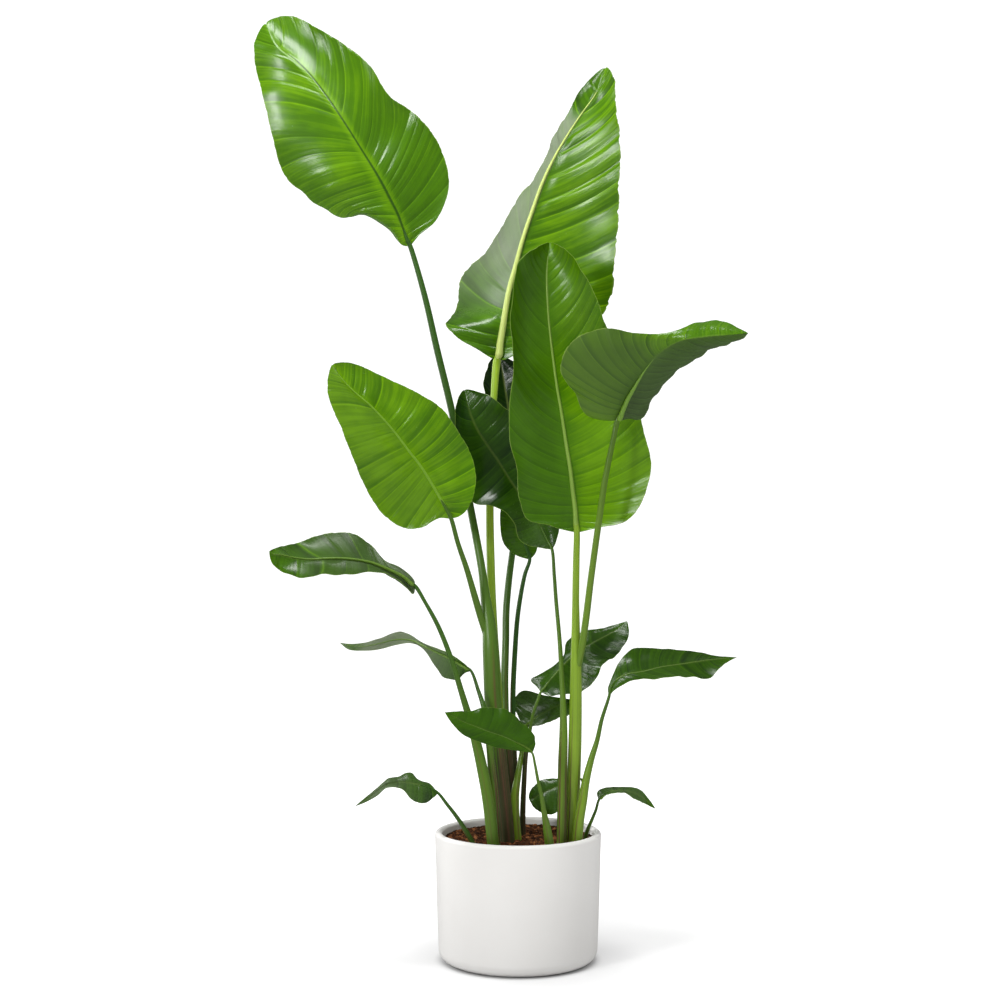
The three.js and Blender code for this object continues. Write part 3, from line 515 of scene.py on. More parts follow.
            [(619, 662, -26), (627, 674, -52), (640, 680, -72)],
            [(632, 650, -11), (643, 671, -45), (657, 678, -71)],
            [(652, 648.5, 0), (661, 667, -36), (675, 676, -64)],
            [(674, 649.5, 9), (680, 664, -25), (692, 676.5, -51)],
            [(696, 651, 12), (698, 661, -14), (708, 680, -34)],
            [(712, 655.5, 10), (714, 659, -4), (720, 668, -15)],
            [(726, 656.5, 9), (727, 658, 4), (729, 661, 0)],
            [(737, 657, 10)],
        ],
        "stalk": [
            (601.5, 720, -58, 3.5), (597, 740, -58, 4.3), (591, 760, -60, 5.7),
            (586, 780, -63, 7), (582.5, 800, -66, 8), (579.5, 820, -66, 8.5),
            (577, 842, -63, 9), (576, 866, -61, 9),
        ],
    },
    "foot_middle_leaf": {
        "face": 1, "slot": "dark_leaf", "tones": (0.26, 0.28, 0.26, 0.28), "pleat": 0.4,
        "bloom": (0.05, 0.05, 0.05, 0.05), "stalk_tone": (0.2, 0.3), "dryness": 0.2,
        "tip_radius": 2,
        "rows": [
            [(581, 779, 25)],
            [(573, 777, 30), (572, 781, 24), (571, 787, 20)],
            [(559, 778.5, 32), (560, 785, 23), (562, 804, 12)],
            [(546, 779, 32), (549, 790, 21), (553, 814, 8)],
            [(536, 784, 29), (539, 795, 20), (543, 813.5, 10)],
            [(530, 791, 25), (533, 799, 20), (534, 807, 15)],
            [(529, 799, 20)],
        ],
        "stalk": [
            (583, 790, 24, 2.4), (582, 810, 22, 3), (580, 838, 20, 4), (579, 866, 18, 4.5),
        ],
    },
    "foot_left_leaf": {
        "face": 1, "tones": (0.24, 0.34, 0.22, 0.34), "pleat": 0.9,
        "dull": (1.8, -0.6, 1.8, -0.6), "bloom": (0.05, 0.3, 0.05, 0.3), "round": (0.2, 0),
        "stalk_tone": (0.02, 0.08), "dryness": 0.1, "tip_radius": 2.4,
        "rows": [
            [(438, 793, -80)],
            [(430, 784, -77), (430, 788, -83), (433, 798, -89)],
            [(420, 780, -75), (420, 785, -88), (424, 803, -100)],
            [(410, 773, -79), (409, 783, -95), (412, 800, -109)],
            [(397, 777, -90), (397, 783, -103), (401, 788.5, -114)],
            [(387, 779, -103), (386, 785, -112), (387, 788, -120)],
            [(377, 788, -114), (376, 792, -120), (377, 796, -126)],
            [(366, 797, -125), (366, 799, -128), (366, 802.5, -131)],
            [(354, 807, -136)],
        ],
        "stalk": [
            (447, 804, -80, 3), (456, 816, -78, 3.5), (464, 828, -75, 4), (472, 842, -72, 4.5),
            (480, 866, -70, 5),
        ],
    },
    "foot_right_leaf": {
        "tones": (0.32, 0.36, 0.3, 0.34), "pleat": 0.9, "bloom": (0.1, 0.2, 0.1, 0.2),
        "round": (0.2, 0), "stalk_tone": (0.08, 0.22), "dryness": 0.1, "tip_radius": 2.2,
        "rows": [
            [(599, 800, -40)],
            [(597, 793, -31), (603, 795, -37), (605, 795, -43)],
            [(604, 788, -19), (610, 791, -31), (614, 793, -41)],
            [(616, 787, -8), (620, 790, -22), (624, 793, -35)],
            [(630, 787.5, 0), (631, 791.5, -12), (633, 798, -24)],
            [(640, 789.5, 6), (640, 795.5, -3), (641, 801.5, -12)],
            [(648, 798, 9), (648, 801.5, 5), (648, 805.5, 1)],
            [(656, 809, 12)],
        ],
        "stalk": [
            (596, 810, -34, 2.6), (592, 820, -28, 3), (588, 830, -20, 3.5), (585, 842, -14, 4),
            (583, 866, -8, 4.5),
        ],
    },
}


def place_of(across, down, y, *radius):
    """A traced point's place in whole millimetres, with the radius left as it is."""
    scale = (CAMERA_DISTANCE + y) / LENS_PIXELS
    x = CAMERA_X + (across - PHOTO_MIDDLE) * scale
    z = CAMERA_HEIGHT - (down - PHOTO_MIDDLE) * scale
    return (round(x), y, round(z), *radius)


def placed(leaf):
    """The whole leaf, with its traced points as places."""
    rows = [[place_of(*point) for point in row] for row in leaf["rows"]]
    stalk = [place_of(*point) for point in leaf["stalk"]]
    radii = {"rib_radius": leaf["tip_radius"]}
    return PLAIN_LEAF | radii | leaf | {"rows": rows, "stalk": stalk}


LEAVES = {name: placed(leaf) for name, leaf in TRACED_LEAVES.items()}


def number_prop(name, description, default, unit="LENGTH"):
    """A property that holds a number."""
    return bpy.props.FloatProperty(
        name=name, description=description, default=default, unit=unit
    )


def colour_prop(name, description, *default):
    """A property that holds a colour."""
    return bpy.props.FloatVectorProperty(
        name=name, description=description, default=default, subtype="COLOR"
    )


class BladeLook(bpy.types.PropertyGroup):
    """Sizes and greens of the leaf blades."""

    thickness: number_prop("Thickness", "Thickness of a blade", 0.0008)
    pleat_spacing: number_prop("Pleat spacing", "Distance between main veins", 0.023)
    pleat_height: number_prop("Pleat height", "How far a blade swells between veins", 0.0019)
    margin_wave: number_prop("Margin wave", "How far a blade's margin waves", 0.0028)
    roll: number_prop("Roll", "Height of the slow swells across a blade", 0.0022)
    # deep, middle and bright are the greens that a leaf's tone runs through; the deep end also
    # gives painted shade, and the bright end painted light where a half glows with light through
    # it
    deep: colour_prop("Deep green", "Colour of the darkest blades", 0.007, 0.030, 0.002)
    middle: colour_prop("Middle green", "Colour of most blades", 0.058, 0.165, 0.001)
    bright: colour_prop("Bright green", "Colour of the youngest blades", 0.225, 0.470, 0.001)
    underside: colour_prop("Underside", "Tint of the lower faces", 0.050, 0.094, 0.014)
    # bloom is a greyish wax shown as a painted grey sheen in place of grazing reflections;
    # most_bloom caps how far it covers the green
    bloom: colour_prop("Bloom", "Greyish wax that lies on some blades", 0.215, 0.25, 0.17)
    most_bloom: number_prop("Most bloom", "Most that the wax covers the green", 0.72, "NONE")
    rib: colour_prop("Rib", "Colour of the ribs", 0.470, 0.560, 0.150)


class StalkLook(bpy.types.PropertyGroup):
    """Sizes and colours of the stalks."""

    fresh: colour_prop("Fresh green", "Colour of a stalk under its blade", 0.018, 0.066, 0.006)
    pale: colour_prop("Pale green", "Colour of the brightest stalks", 0.280, 0.430, 0.025)
    dry: colour_prop("Dry brown", "Colour of old sheath at the foot", 0.036, 0.040, 0.010)
    husk: colour_prop("Husk brown", "Colour of dead streaks and edges", 0.100, 0.042, 0.022)
    dry_height: number_prop("Dry height", "Height up to which sheaths are brown", 0.50)


class PotLook(bpy.types.PropertyGroup):
    """Sizes and finish of the pot."""

    wall: number_prop("Wall", "Thickness of the pot's wall", 0.013)
    foot_radius: number_prop("Foot radius", "Radius of the pot's wall at its foot", 0.1435)
    foot_round: number_prop("Foot rounding", "Radius of the rounded foot", 0.022)
    floor: number_prop("Floor", "Thickness of the pot's floor", 0.015)
    colour: colour_prop("Colour", "Colour of the pot", 0.685, 0.675, 0.657)


class SoilLook(bpy.types.PropertyGroup):
    """Sizes and colours of the soil."""

    chips: bpy.props.IntProperty(
        name="Chips", description="Number of chips and fibres on the soil", default=3600, min=0
    )
    sink: number_prop("Sink", "How far the soil lies below its room in the pot", 0.0035)
    lump: number_prop("Lump", "Height of the soil's lumps", 0.0022)
    grit: number_prop("Grit", "Height of the soil's fine grains", 0.0011)
    dark: colour_prop("Dark", "Colour of the damp soil", 0.012, 0.005, 0.002)
    light: colour_prop("Light", "Colour of the dry chips", 0.330, 0.130, 0.045)


class StudioLook(bpy.types.PropertyGroup):
    """Camera and lights."""

    camera_distance: number_prop("Distance", "In front of the pot's axis", CAMERA_DISTANCE * MM)
    camera_height: number_prop("Height", "Above the floor", CAMERA_HEIGHT * MM)
    camera_side: number_prop("Offset", "To the right of the pot's axis", CAMERA_X * MM)
    lens: number_prop("Lens", "Focal length on a 36 mm frame", 64.76, "CAMERA")
    key_power: number_prop("Key", "Power of the soft light at the front left", 69, "POWER")
    fill_power: number_prop("Fill", "Power of the soft light at the right", 17, "POWER")
    left_power: number_prop("Side", "Power of the tall light at the left", 33, "POWER")
    top_power: number_prop("Top", "Power of the light overhead", 81, "POWER")
    sky: number_prop("Surroundings", "Brightness of the room", 0.2, "NONE")
    floor_glow: number_prop("Floor glow", "Light given off by the floor", 0.5, "NONE")
    wall_glow: number_prop("Wall glow", "Light given off by the wall behind", 1.0, "NONE")


LOOKS = {
    "blade_look": BladeLook,
    "stalk_look": StalkLook,
    "pot_look": PotLook,
    "soil_look": SoilLook,
    "studio_look": StudioLook,
}


# Curves and surfaces


def smooth_through(points, places):
    """Centripetal curve through each column of points; places run from 0 to 1 in even steps."""
    points = np.asarray(points, dtype=float)
    count = len(points)
    before = np.concatenate([2 * points[:1] - points[1:2], points[:-1]])
    after = np.concatenate([points[1:], 2 * points[-1:] - points[-2:-1]])
    reach_in = np.sqrt(np.linalg.norm(points - before, axis=-1, keepdims=True)) + 1e-6
    reach_out = np.sqrt(np.linalg.norm(after - points, axis=-1, keepdims=True)) + 1e-6
    slope = (
        (points - before) / reach_in
        - (after - before) / (reach_in + reach_out)
        + (after - points) / reach_out
    )
    spot = np.clip(np.asarray(places) * (count - 1), 0, count - 1)
    low = np.minimum(spot.astype(int), count - 2)
    step = (spot - low).reshape((-1,) + (1,) * (points.ndim - 1))
    span = reach_out[low]
    start, end = points[low], points[low + 1]
    leave, arrive = slope[low] * span, slope[low + 1] * span
    squared, cubed = step * step, step ** 3
    return (
        start * (2 * cubed - 3 * squared + 1)
        + leave * (cubed - 2 * squared + step)
        + end * (3 * squared - 2 * cubed)
        + arrive * (cubed - squared)
    )


def unit(vectors):
    """The same vectors at length one."""
    return vectors / (np.linalg.norm(vectors, axis=-1, keepdims=True) + 1e-12)


def waves(place_on, *terms):
    """A sum of sine waves, each given as its size, its number and its turn."""
    return sum(size * np.sin(2 * np.pi * count * place_on + turn) for size, count, turn in terms)


def ramp(value, low, high):
    """0 below low, 1 above high, smooth between."""
    share = np.clip((value - low) / (high - low), 0, 1)
    return share * share * (3 - 2 * share)


def blade_columns(leaf):
    """Rows of five points: left margin, left middle, rib, right middle, right margin."""
    rows = [np.array(row, dtype=float) for row in leaf["rows"]]
    rib_of = [row[max(0, len(row) - 2)] for row in rows]
    last = len(rows) - 1
    columns = []
    for i, row in enumerate(rows):
        if len(row) == 1:
            columns.append(np.repeat(row, 5, axis=0))
            continue
        along = rib_of[min(i + 1, last)] - rib_of[i - 1]
        rib = rib_of[i]
        halves = []
        for margin, turn in ((row[0], 1), (row[-1], -1)):
            across = margin - rib
            up = np.cross(across, along)
            up /= np.linalg.norm(up)
            lift = np.linalg.norm(across) * leaf["camber"] * turn * leaf["side"]
            halves.append((rib + margin) / 2 + up * lift)
        if len(row) == 4:
            halves[0] = row[1]
        columns.append(np.array([row[0], halves[0], rib, halves[1], row[-1]]))
    return np.array(columns) * MM


class Blade:
    """A blade's surface, sampled at (along, across) pairs."""

    def __init__(self, name, leaf, look):
        self.leaf = leaf
        self.look = look
        self.columns = blade_columns(leaf)
        self.folds = self.fold_weights()
        rib = smooth_through(self.columns, np.linspace(0, 1, LENGTH_SAMPLES))[:, 2]
        self.length = np.linalg.norm(np.diff(rib, axis=0), axis=1).sum()
        self.veins = max(FEWEST_VEINS, round(self.length / look.pleat_spacing / leaf["spacing"]))
        luck = random.Random(name)
        self.turns = [luck.uniform(0, FULL_TURN) for _ in range(12)]
        sizes = [luck.uniform(*VEIN_SIZES) for _ in range(VEIN_SIZE_COUNT)]
        self.vein_sizes = np.array(sizes)

    def fold_weights(self):
        """How sharply each row folds at its left middle point, 0 to 1."""
        inner = unit(self.columns[:, 1] - self.columns[:, 2])
        outer = unit(self.columns[:, 0] - self.columns[:, 1])
        turn = np.degrees(np.arccos(np.clip(np.sum(inner * outer, axis=1), -1, 1)))
        weights = ramp(turn, FOLD_STARTS, FOLD_FULL)
        weights[[0, -1]] = 0
        return weights[:, None]

    def rounded(self, along, columns):
        """Widens the ends so that a blade closes in a round arc, not in a point."""
        rows = len(self.columns)
        rib = columns[:, 2:3]
        spot = along * (rows - 1)
        for end, full_row, share in ((0, 1, 1 - spot), (1, rows - 2, spot - (rows - 2))):
            amount = self.leaf["round"][end]
            if not amount:
                continue
            near = END_PROBE if end == 0 else -END_PROBE
            at = np.array([full_row, full_row - near]) / (rows - 1)
            probe = smooth_through(self.columns, at)
            widths = np.linalg.norm(probe - probe[:, 2:3], axis=2)
            slope = (widths[1] - widths[0]) / END_PROBE / (widths[0] + TINY)
            bulge = np.clip(1 + 2 * slope, *BULGE_LIMITS)[None, :]
            place = np.clip(share, 0, END_CLOSES)[:, None]
            arc = widths[0] * np.sqrt((1 - place) * (1 + bulge * place))
            now = np.linalg.norm(columns - rib, axis=2) + TINY
            factor = 1 + amount * np.clip(arc / now - 1, *WIDENING_LIMITS)
            factor = np.where((place > 0) & (share < 1)[:, None], factor, 1)
            columns = rib + (columns - rib) * factor[:, :, None]
        return columns

    def sheet(self, along, across):
        """Points on the unruffled sheet, for equal arrays of along and across."""
        columns = self.rounded(along, smooth_through(self.columns, along))
        reach = np.abs(across)[:, None]
        left = (across < 0)[:, None]
        rib = columns[:, 2]
        middle = np.where(left, columns[:, 1], columns[:, 3])
        margin = np.where(left, columns[:, 0], columns[:, 4])
        curved = (
            rib * (1 - reach) * (1 - 2 * reach)
            + middle * 4 * reach * (1 - reach)
            + margin * reach * (2 * reach - 1)
        )
        past = FOLD_SOFTNESS * np.logaddexp(0, (2 * reach - 1) / FOLD_SOFTNESS)
        within = 2 * reach - past
        folded = rib + (middle - rib) * within + (margin - middle) * past
        fold = smooth_through(self.folds, along) * left
        return curved + (folded - curved) * np.clip(fold, 0, 1)

    def upward(self, along, across):
        """Unit normals on the leaf's upper side."""
        inner = np.clip(along, NORMAL_INSET, 1 - NORMAL_INSET)
        before, after = inner - NORMAL_ALONG, inner + NORMAL_ALONG
        down = self.sheet(after, across) - self.sheet(before, across)
        left = np.clip(across - NORMAL_ACROSS, -1, 1)
        right = np.clip(across + NORMAL_ACROSS, -1, 1)
        over = self.sheet(inner, right) - self.sheet(inner, left)
        return unit(np.cross(down, over)) * self.leaf["face"]

    def half_width(self, along, across):
        """Distance from the rib to the margin on that half."""
        columns = self.rounded(along, smooth_through(self.columns, along))
        margin = np.where((across < 0)[:, None], columns[:, 0], columns[:, 4])
        return np.linalg.norm(margin - columns[:, 2], axis=1)

    def slanted(self, start, across):
        """Where along the leaf a vein that starts at the rib has got to."""
        slant = np.where(across < 0, self.leaf["slant"][0], self.leaf["slant"][1])
        straight, curved = VEIN_BOW
        bow = straight * np.abs(across) + curved * np.abs(across) ** 2
        return start + slant * bow * 4 * start * (1 - start)

    def raggedness(self, start, across):
        """How far small notches and bumps move the margin, as a share of the half width."""
        side, turns = np.where(across < 0, 0.0, 1.9), self.turns
        beat = waves(
            start, (1, 17, turns[8] + side), (0.7, 41, turns[9] - side),
            (0.5, 73, turns[10] + side),
        )
        notch = np.clip(beat, *NOTCH_LIMITS) * self.leaf["pleat"]
        return NOTCH * notch * np.abs(across) ** NOTCH_POWER

    def vein_count(self, start):
        """Counts the veins along the leaf; whole numbers lie on a vein."""
        (size, rate), (small, quick) = VEIN_SWAY
        sway = size * np.sin(rate * start + self.turns[0])
        sway += small * np.sin(quick * start + self.turns[1])
        return self.veins * start + sway + 2

    def relief(self, start, across):
        """Height of pleats, waves and the rib's channel above the sheet."""
        look, turns = self.look, self.turns
        reach = np.abs(across)
        width = self.half_width(self.slanted(start, across), across)
        count = self.vein_count(start)
        narrow = np.minimum(1, width / WAVE_WIDTH)
        which = np.floor(count).astype(int) + np.where(across < 0, 0, RIGHT_VEINS_FROM)
        within = count - np.floor(count)
        rise = np.minimum(1, within / VEIN_CREST) ** RISE_POWER
        shingle = np.where(within < VEIN_CREST, rise, (1 - within) / (1 - VEIN_CREST))
        swell = np.sin(np.pi * within) ** SWELL_POWER
        shape = SHINGLE_SHARE * shingle + (1 - SHINGLE_SHARE) * swell
        cover = ramp(reach, *PLEATS_START) * (1 - PLEATS_EASE_BY * ramp(reach, *PLEATS_EASE))
        height = look.pleat_height * self.vein_sizes[which] * shape
        height *= cover * (narrow * self.leaf["pleat"])
        side = np.where(across < 0, 0.0, 2.3)
        wave = waves(
            start, (1, 2.3, turns[4] + side), (0.6, 5.1, turns[5] + side * 1.7),
            (0.35, 11.3, turns[6] - side),
        )
        wave *= ramp(start, *WAVES_START) * (1 - WAVES_EASE_BY * ramp(start, *WAVES_EASE))
        height += look.margin_wave * wave * reach ** 3 * narrow
        roll = waves(ROLL_ALONG * start + ROLL_ACROSS * reach, (1, 1, turns[7] + side))
        full = np.minimum(1, width / ROLL_WIDTH)
        height += look.roll * roll * reach * (1 - reach) * 4 * full
        channel = CHANNEL_WIDTH * (1 - CHANNEL_NARROWS_BY * start)
        deep = channel * (SUNK_RIB_DEPTH if self.leaf["rib"] < 0 else CHANNEL_DEPTH)
        height -= deep * np.exp(-((reach * width / channel) ** 2))
        return height


# Mesh helpers


def only(piece):
    """Makes the piece the one selected, active object."""
    bpy.ops.object.select_all(action="DESELECT")
    piece.select_set(True)
    bpy.context.view_layer.objects.active = piece


def in_edit(piece, *steps):
    """Runs edit-mode operators on everything in the piece."""
    only(piece)
    bpy.ops.object.mode_set(mode="EDIT")
    bpy.ops.mesh.select_all(action="SELECT")
    for step in steps:
        step()
    bpy.ops.object.mode_set(mode="OBJECT")


def primitive(name, add, **settings):
    """What this operator adds, under its own name."""
    bpy.ops.object.select_all(action="DESELECT")
    add(**settings)
    piece = bpy.context.active_object
    piece.name = piece.data.name = name
    return piece


def new_grid(name, along_steps, across_steps):
    """A flat square grid from (-1, -1) to (1, 1), with its UV map."""
    return primitive(
        name, bpy.ops.mesh.primitive_grid_add,
        x_subdivisions=along_steps, y_subdivisions=across_steps, size=2, calc_uvs=True,
    )


def coordinates(piece):
    """The piece's vertex coordinates as an array."""
    values = np.empty(len(piece.data.vertices) * 3)
    piece.data.vertices.foreach_get("co", values)
    return values.reshape(-1, 3)


def place(piece, points):
    """Moves the piece's vertices to these points."""
    piece.data.vertices.foreach_set("co", np.ascontiguousarray(points, dtype=float).ravel())
    piece.data.update()


def tag(piece, name, values):
    """Stores a value or a vector for each vertex, or one value for them all."""
    values = np.asarray(values, dtype=float)
    if values.ndim == 0:
        values = np.full(len(piece.data.vertices), values)
    kind, field = ("FLOAT_VECTOR", "vector") if values.ndim == 2 else ("FLOAT", "value")
    layer = piece.data.attributes.new(name, kind, "POINT")
    layer.data.foreach_set(field, values.ravel())


def marks(piece, name):
    """The value that each vertex has under this name."""
    values = np.empty(len(piece.data.vertices))
    piece.data.attributes[name].data.foreach_get("value", values)
    return values


def apply_modifier(piece, kind, **settings):
    """Adds a modifier with these settings and applies it."""
    only(piece)
    modifier = piece.modifiers.new(kind.title(), kind)
    for key, value in settings.items():
        setattr(modifier, key, value)
    bpy.ops.object.modifier_apply(modifier=modifier.name)


def smooth(piece, angle):
    """Smooth shading, sharp only past this angle."""
    only(piece)
    bpy.ops.object.shade_smooth_by_angle(angle=math.radians(angle))


def merge(threshold):
    """An edit-mode step that joins vertices that lie this near each other."""
    return lambda: bpy.ops.mesh.remove_doubles(threshold=threshold)


def pick_open_edges():
    """An edit-mode step that selects the edges of holes."""
    bpy.ops.mesh.select_all(action="DESELECT")
    bpy.ops.mesh.select_mode(type="EDGE")
    bpy.ops.mesh.select_non_manifold()


def face_outward():
    """An edit-mode step that turns all normals outward."""
    bpy.ops.mesh.select_all(action="SELECT")
    bpy.ops.mesh.normals_make_consistent(inside=False)


def ring_axes(centres, sideways):
    """Two unit axes across a path, the first as near sideways as it can be."""
    along = unit(np.gradient(centres, axis=0))
    first = unit(sideways - along * np.sum(sideways * along, axis=1, keepdims=True))
    return first, np.cross(along, first)


def make_tube(name, centres, radii, sideways, sides, bulge=None):
    """A closed tube along centres; bulge(place, angle) scales its radius."""
    steps = len(centres) - 1
    piece = new_grid(name, steps, sides)
    flat = coordinates(piece)
    step = np.rint((flat[:, 0] + 1) / 2 * steps).astype(int)
    angle = (flat[:, 1] + 1) * math.pi
    first, second = ring_axes(centres, sideways)
    reach = np.asarray(radii)[step]
    if bulge is not None:
        reach = reach * bulge(step / steps, angle)
    points = centres[step]
    points = points + first[step] * (np.cos(angle) * reach)[:, None]
    points = points + second[step] * (np.sin(angle) * reach)[:, None]
    place(piece, points)
    tag(piece, "stalk_place", step / steps)
    tag(piece, "stalk_angle", angle)
    close = (lambda: bpy.ops.mesh.fill_holes(sides=0))
    in_edit(piece, merge(SAME_PLACE), pick_open_edges, close, face_outward)
    return piece


def join(base, *others):
    """Joins the others into base."""
    only(base)
    for other in others:
        other.select_set(True)
    bpy.ops.object.join()
    return base


def wear(piece, *materials):
    """Gives a new piece these materials, in slot order."""
    for material in materials:
        piece.data.materials.append(material)


def stand_for(piece, node):
    """The piece is shown in place of a CAD node, on the plant's one body."""
    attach(piece, "root")
    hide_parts(node)


# Materials


class Wiring:
    """Adds and links nodes in one tree."""

    def __init__(self, tree):
        self.tree = tree

    def add(self, kind, inputs=None, **settings):
        """A node with these settings; an input is a value or a socket to link."""
        node = self.tree.nodes.new("ShaderNode" + kind)
        for key, value in settings.items():
            setattr(node, key, value)
        for key, value in (inputs or {}).items():
            self.feed(node.inputs[key], value)
        return node

    def feed(self, socket, value):
        if isinstance(value, bpy.types.NodeSocket):
            self.tree.links.new(value, socket)
        else:
            socket.default_value = value

    def math(self, operation, first, second=None, clamp=False):
        node = self.add("Math", {0: first}, operation=operation, use_clamp=clamp)
        if second is not None:
            self.feed(node.inputs[1], second)
        return node.outputs[0]

    def times(self, first, second):
        return self.math("MULTIPLY", first, second)

    def plus(self, first, second):
        return self.math("ADD", first, second)

    def centred(self, value):
        """A value that runs from 0 to 1, moved so that it runs about 0."""
        return self.math("SUBTRACT", value, 0.5)

    def span(self, value, low, high, to_low=0.0, to_high=1.0):
        """The value's way from low to high, as a smooth way between the other two."""
        ends = dict(enumerate((value, low, high, to_low, to_high)))
        return self.add("MapRange", ends, interpolation_type="SMOOTHSTEP").outputs[0]

    def noise(self, vector, scale, detail, roughness=0.6, stretch=None):
        if stretch:
            vector = self.add("Mapping", {"Vector": vector, "Scale": stretch}).outputs[0]
        settings = {"Vector": vector, "Scale": scale, "Detail": detail, "Roughness": roughness}
        return self.add("TexNoise", settings).outputs["Fac"]

    def blend(self, factor, first, second, kind="MIX"):
        """A mix of two colours, each a socket or three numbers."""
        node = self.add("Mix", {"Factor": factor}, data_type="RGBA", blend_type=kind)
        for index, colour in ((6, first), (7, second)):
            is_socket = isinstance(colour, bpy.types.NodeSocket)
            self.feed(node.inputs[index], colour if is_socket else (*colour, 1))
        return node.outputs[2]

    def gradient(self, value, stops):
        """The colour that a value has between these colours, evenly spaced."""
        node = self.add("ValToRGB", {"Fac": value})
        elements = node.color_ramp.elements
        while len(elements) < len(stops):
            elements.new(0.5)
        for index, colour in enumerate(stops):
            elements[index].position = index / (len(stops) - 1)
            elements[index].color = (*colour, 1)
        return node.outputs["Color"]

    def mark(self, name, output="Fac"):
        """What the piece's vertices hold under this name."""
        return self.add("Attribute", attribute_name=name).outputs[output]

    def spot(self):
        """The place on the piece."""
        return self.add("TexCoord").outputs["Object"]

    def group(self, make, inputs):
        """The outputs of a shared node group, which is made at its first use."""
        tree = bpy.data.node_groups.get(make.__name__) or make(make.__name__)
        return self.add("Group", inputs, node_tree=tree).outputs

    def mottle(self, scale):
        return self.group(mottle_group, {"Vector": self.spot(), "Scale": scale})

    def principled(self, colour, rough, bump=None):
        """The surface's shader; bump is its strength, its depth and its height."""
        shader = self.add("BsdfPrincipled", {"Base Color": colour, "Roughness": rough})
        if bump:
            inputs = dict(zip(("Strength", "Distance", "Height"), bump))
            self.feed(shader.inputs["Normal"], self.add("Bump", inputs).outputs[0])
        return shader


def new_group(name, inputs, outputs):
    """A shader group with these sockets: its tree, wiring, input sockets and output ones."""
    tree = bpy.data.node_groups.new(name, "ShaderNodeTree")
    for title, kind in inputs.items():
        tree.interface.new_socket(title, in_out="INPUT", socket_type="NodeSocket" + kind)
    for title in outputs:
        tree.interface.new_socket(title, in_out="OUTPUT", socket_type="NodeSocketFloat")
    start, end = tree.nodes.new("NodeGroupInput"), tree.nodes.new("NodeGroupOutput")
    return tree, Wiring(tree), start.outputs, end.inputs


def vein_group(name):
    """Masks of the veins from a blade's vein count, and the bump that they make."""
    outputs = ("Vein", "Shade", "Fine", "Rib", "Rib side", "Margin", "Height")
    tree, w, start, end = new_group(name, {"Lines": "Vector", "Fine veins": "Float"}, outputs)
    parts = w.add("SeparateXYZ", {0: start["Lines"]}).outputs
    count, reach, distance = parts[0], parts[1], parts[2]
    within = w.math("FRACT", count)
    from_vein = w.math("PINGPONG", count, 0.5)
    fine_count = w.times(count, start["Fine veins"])
    wobble = w.add("CombineXYZ", {0: fine_count, 1: w.times(distance, 0.012)})
    fine = w.span(w.noise(wobble.outputs[0], 0.8, 3.0), 0.35, 0.65)
    which = w.math("FLOOR", w.plus(count, 0.5))
    luck = w.add("TexWhiteNoise", {"W": which}, noise_dimensions="1D").outputs["Value"]
    clear = w.times(w.span(reach, 0.02, 0.1), w.span(luck, 0.0, 1.0, 0.25, 1.2))
    # Vein is a thin line on each vein for its paler green and a painted highlight; Shade is
    # painted shade that fades from each vein's step towards the next
    masks = (
        w.times(w.span(from_vein, 0.0, 0.05, 1.0, 0.0), clear),
        w.times(w.span(within, 0.0, 0.5, 1.0, 0.0), clear),
        fine,
        w.span(distance, 0.8, 3.2, 1.0, 0.0),
        w.span(distance, 4.0, 18.0, 1.0, 0.0),
        w.span(reach, 0.985, 1.0),
        w.times(fine, 0.5),
    )
    for title, mask in zip(outputs, masks):
        w.feed(end[title], mask)
    return tree


def mottle_group(name):
    """Uneven patches for living tissue, soil and clay."""
    sockets = {"Vector": "Vector", "Scale": "Float"}
    tree, w, start, end = new_group(name, sockets, ("Patches", "Specks"))
    w.feed(end["Patches"], w.noise(start["Vector"], start["Scale"], 4.0, 0.55))
    w.feed(end["Specks"], w.noise(start["Vector"], w.times(start["Scale"], 14.0), 2.0))
    return tree


def new_material(name):
    """An empty material, its wiring and the socket for its surface."""
    material = bpy.data.materials.new(name)
    material.use_nodes = True
    material.node_tree.nodes.clear()
    w = Wiring(material.node_tree)
    return material, w, w.add("OutputMaterial").inputs["Surface"]


def greens(look):
    """The leaf's greens in order."""
    return [look.deep, look.middle, look.bright]


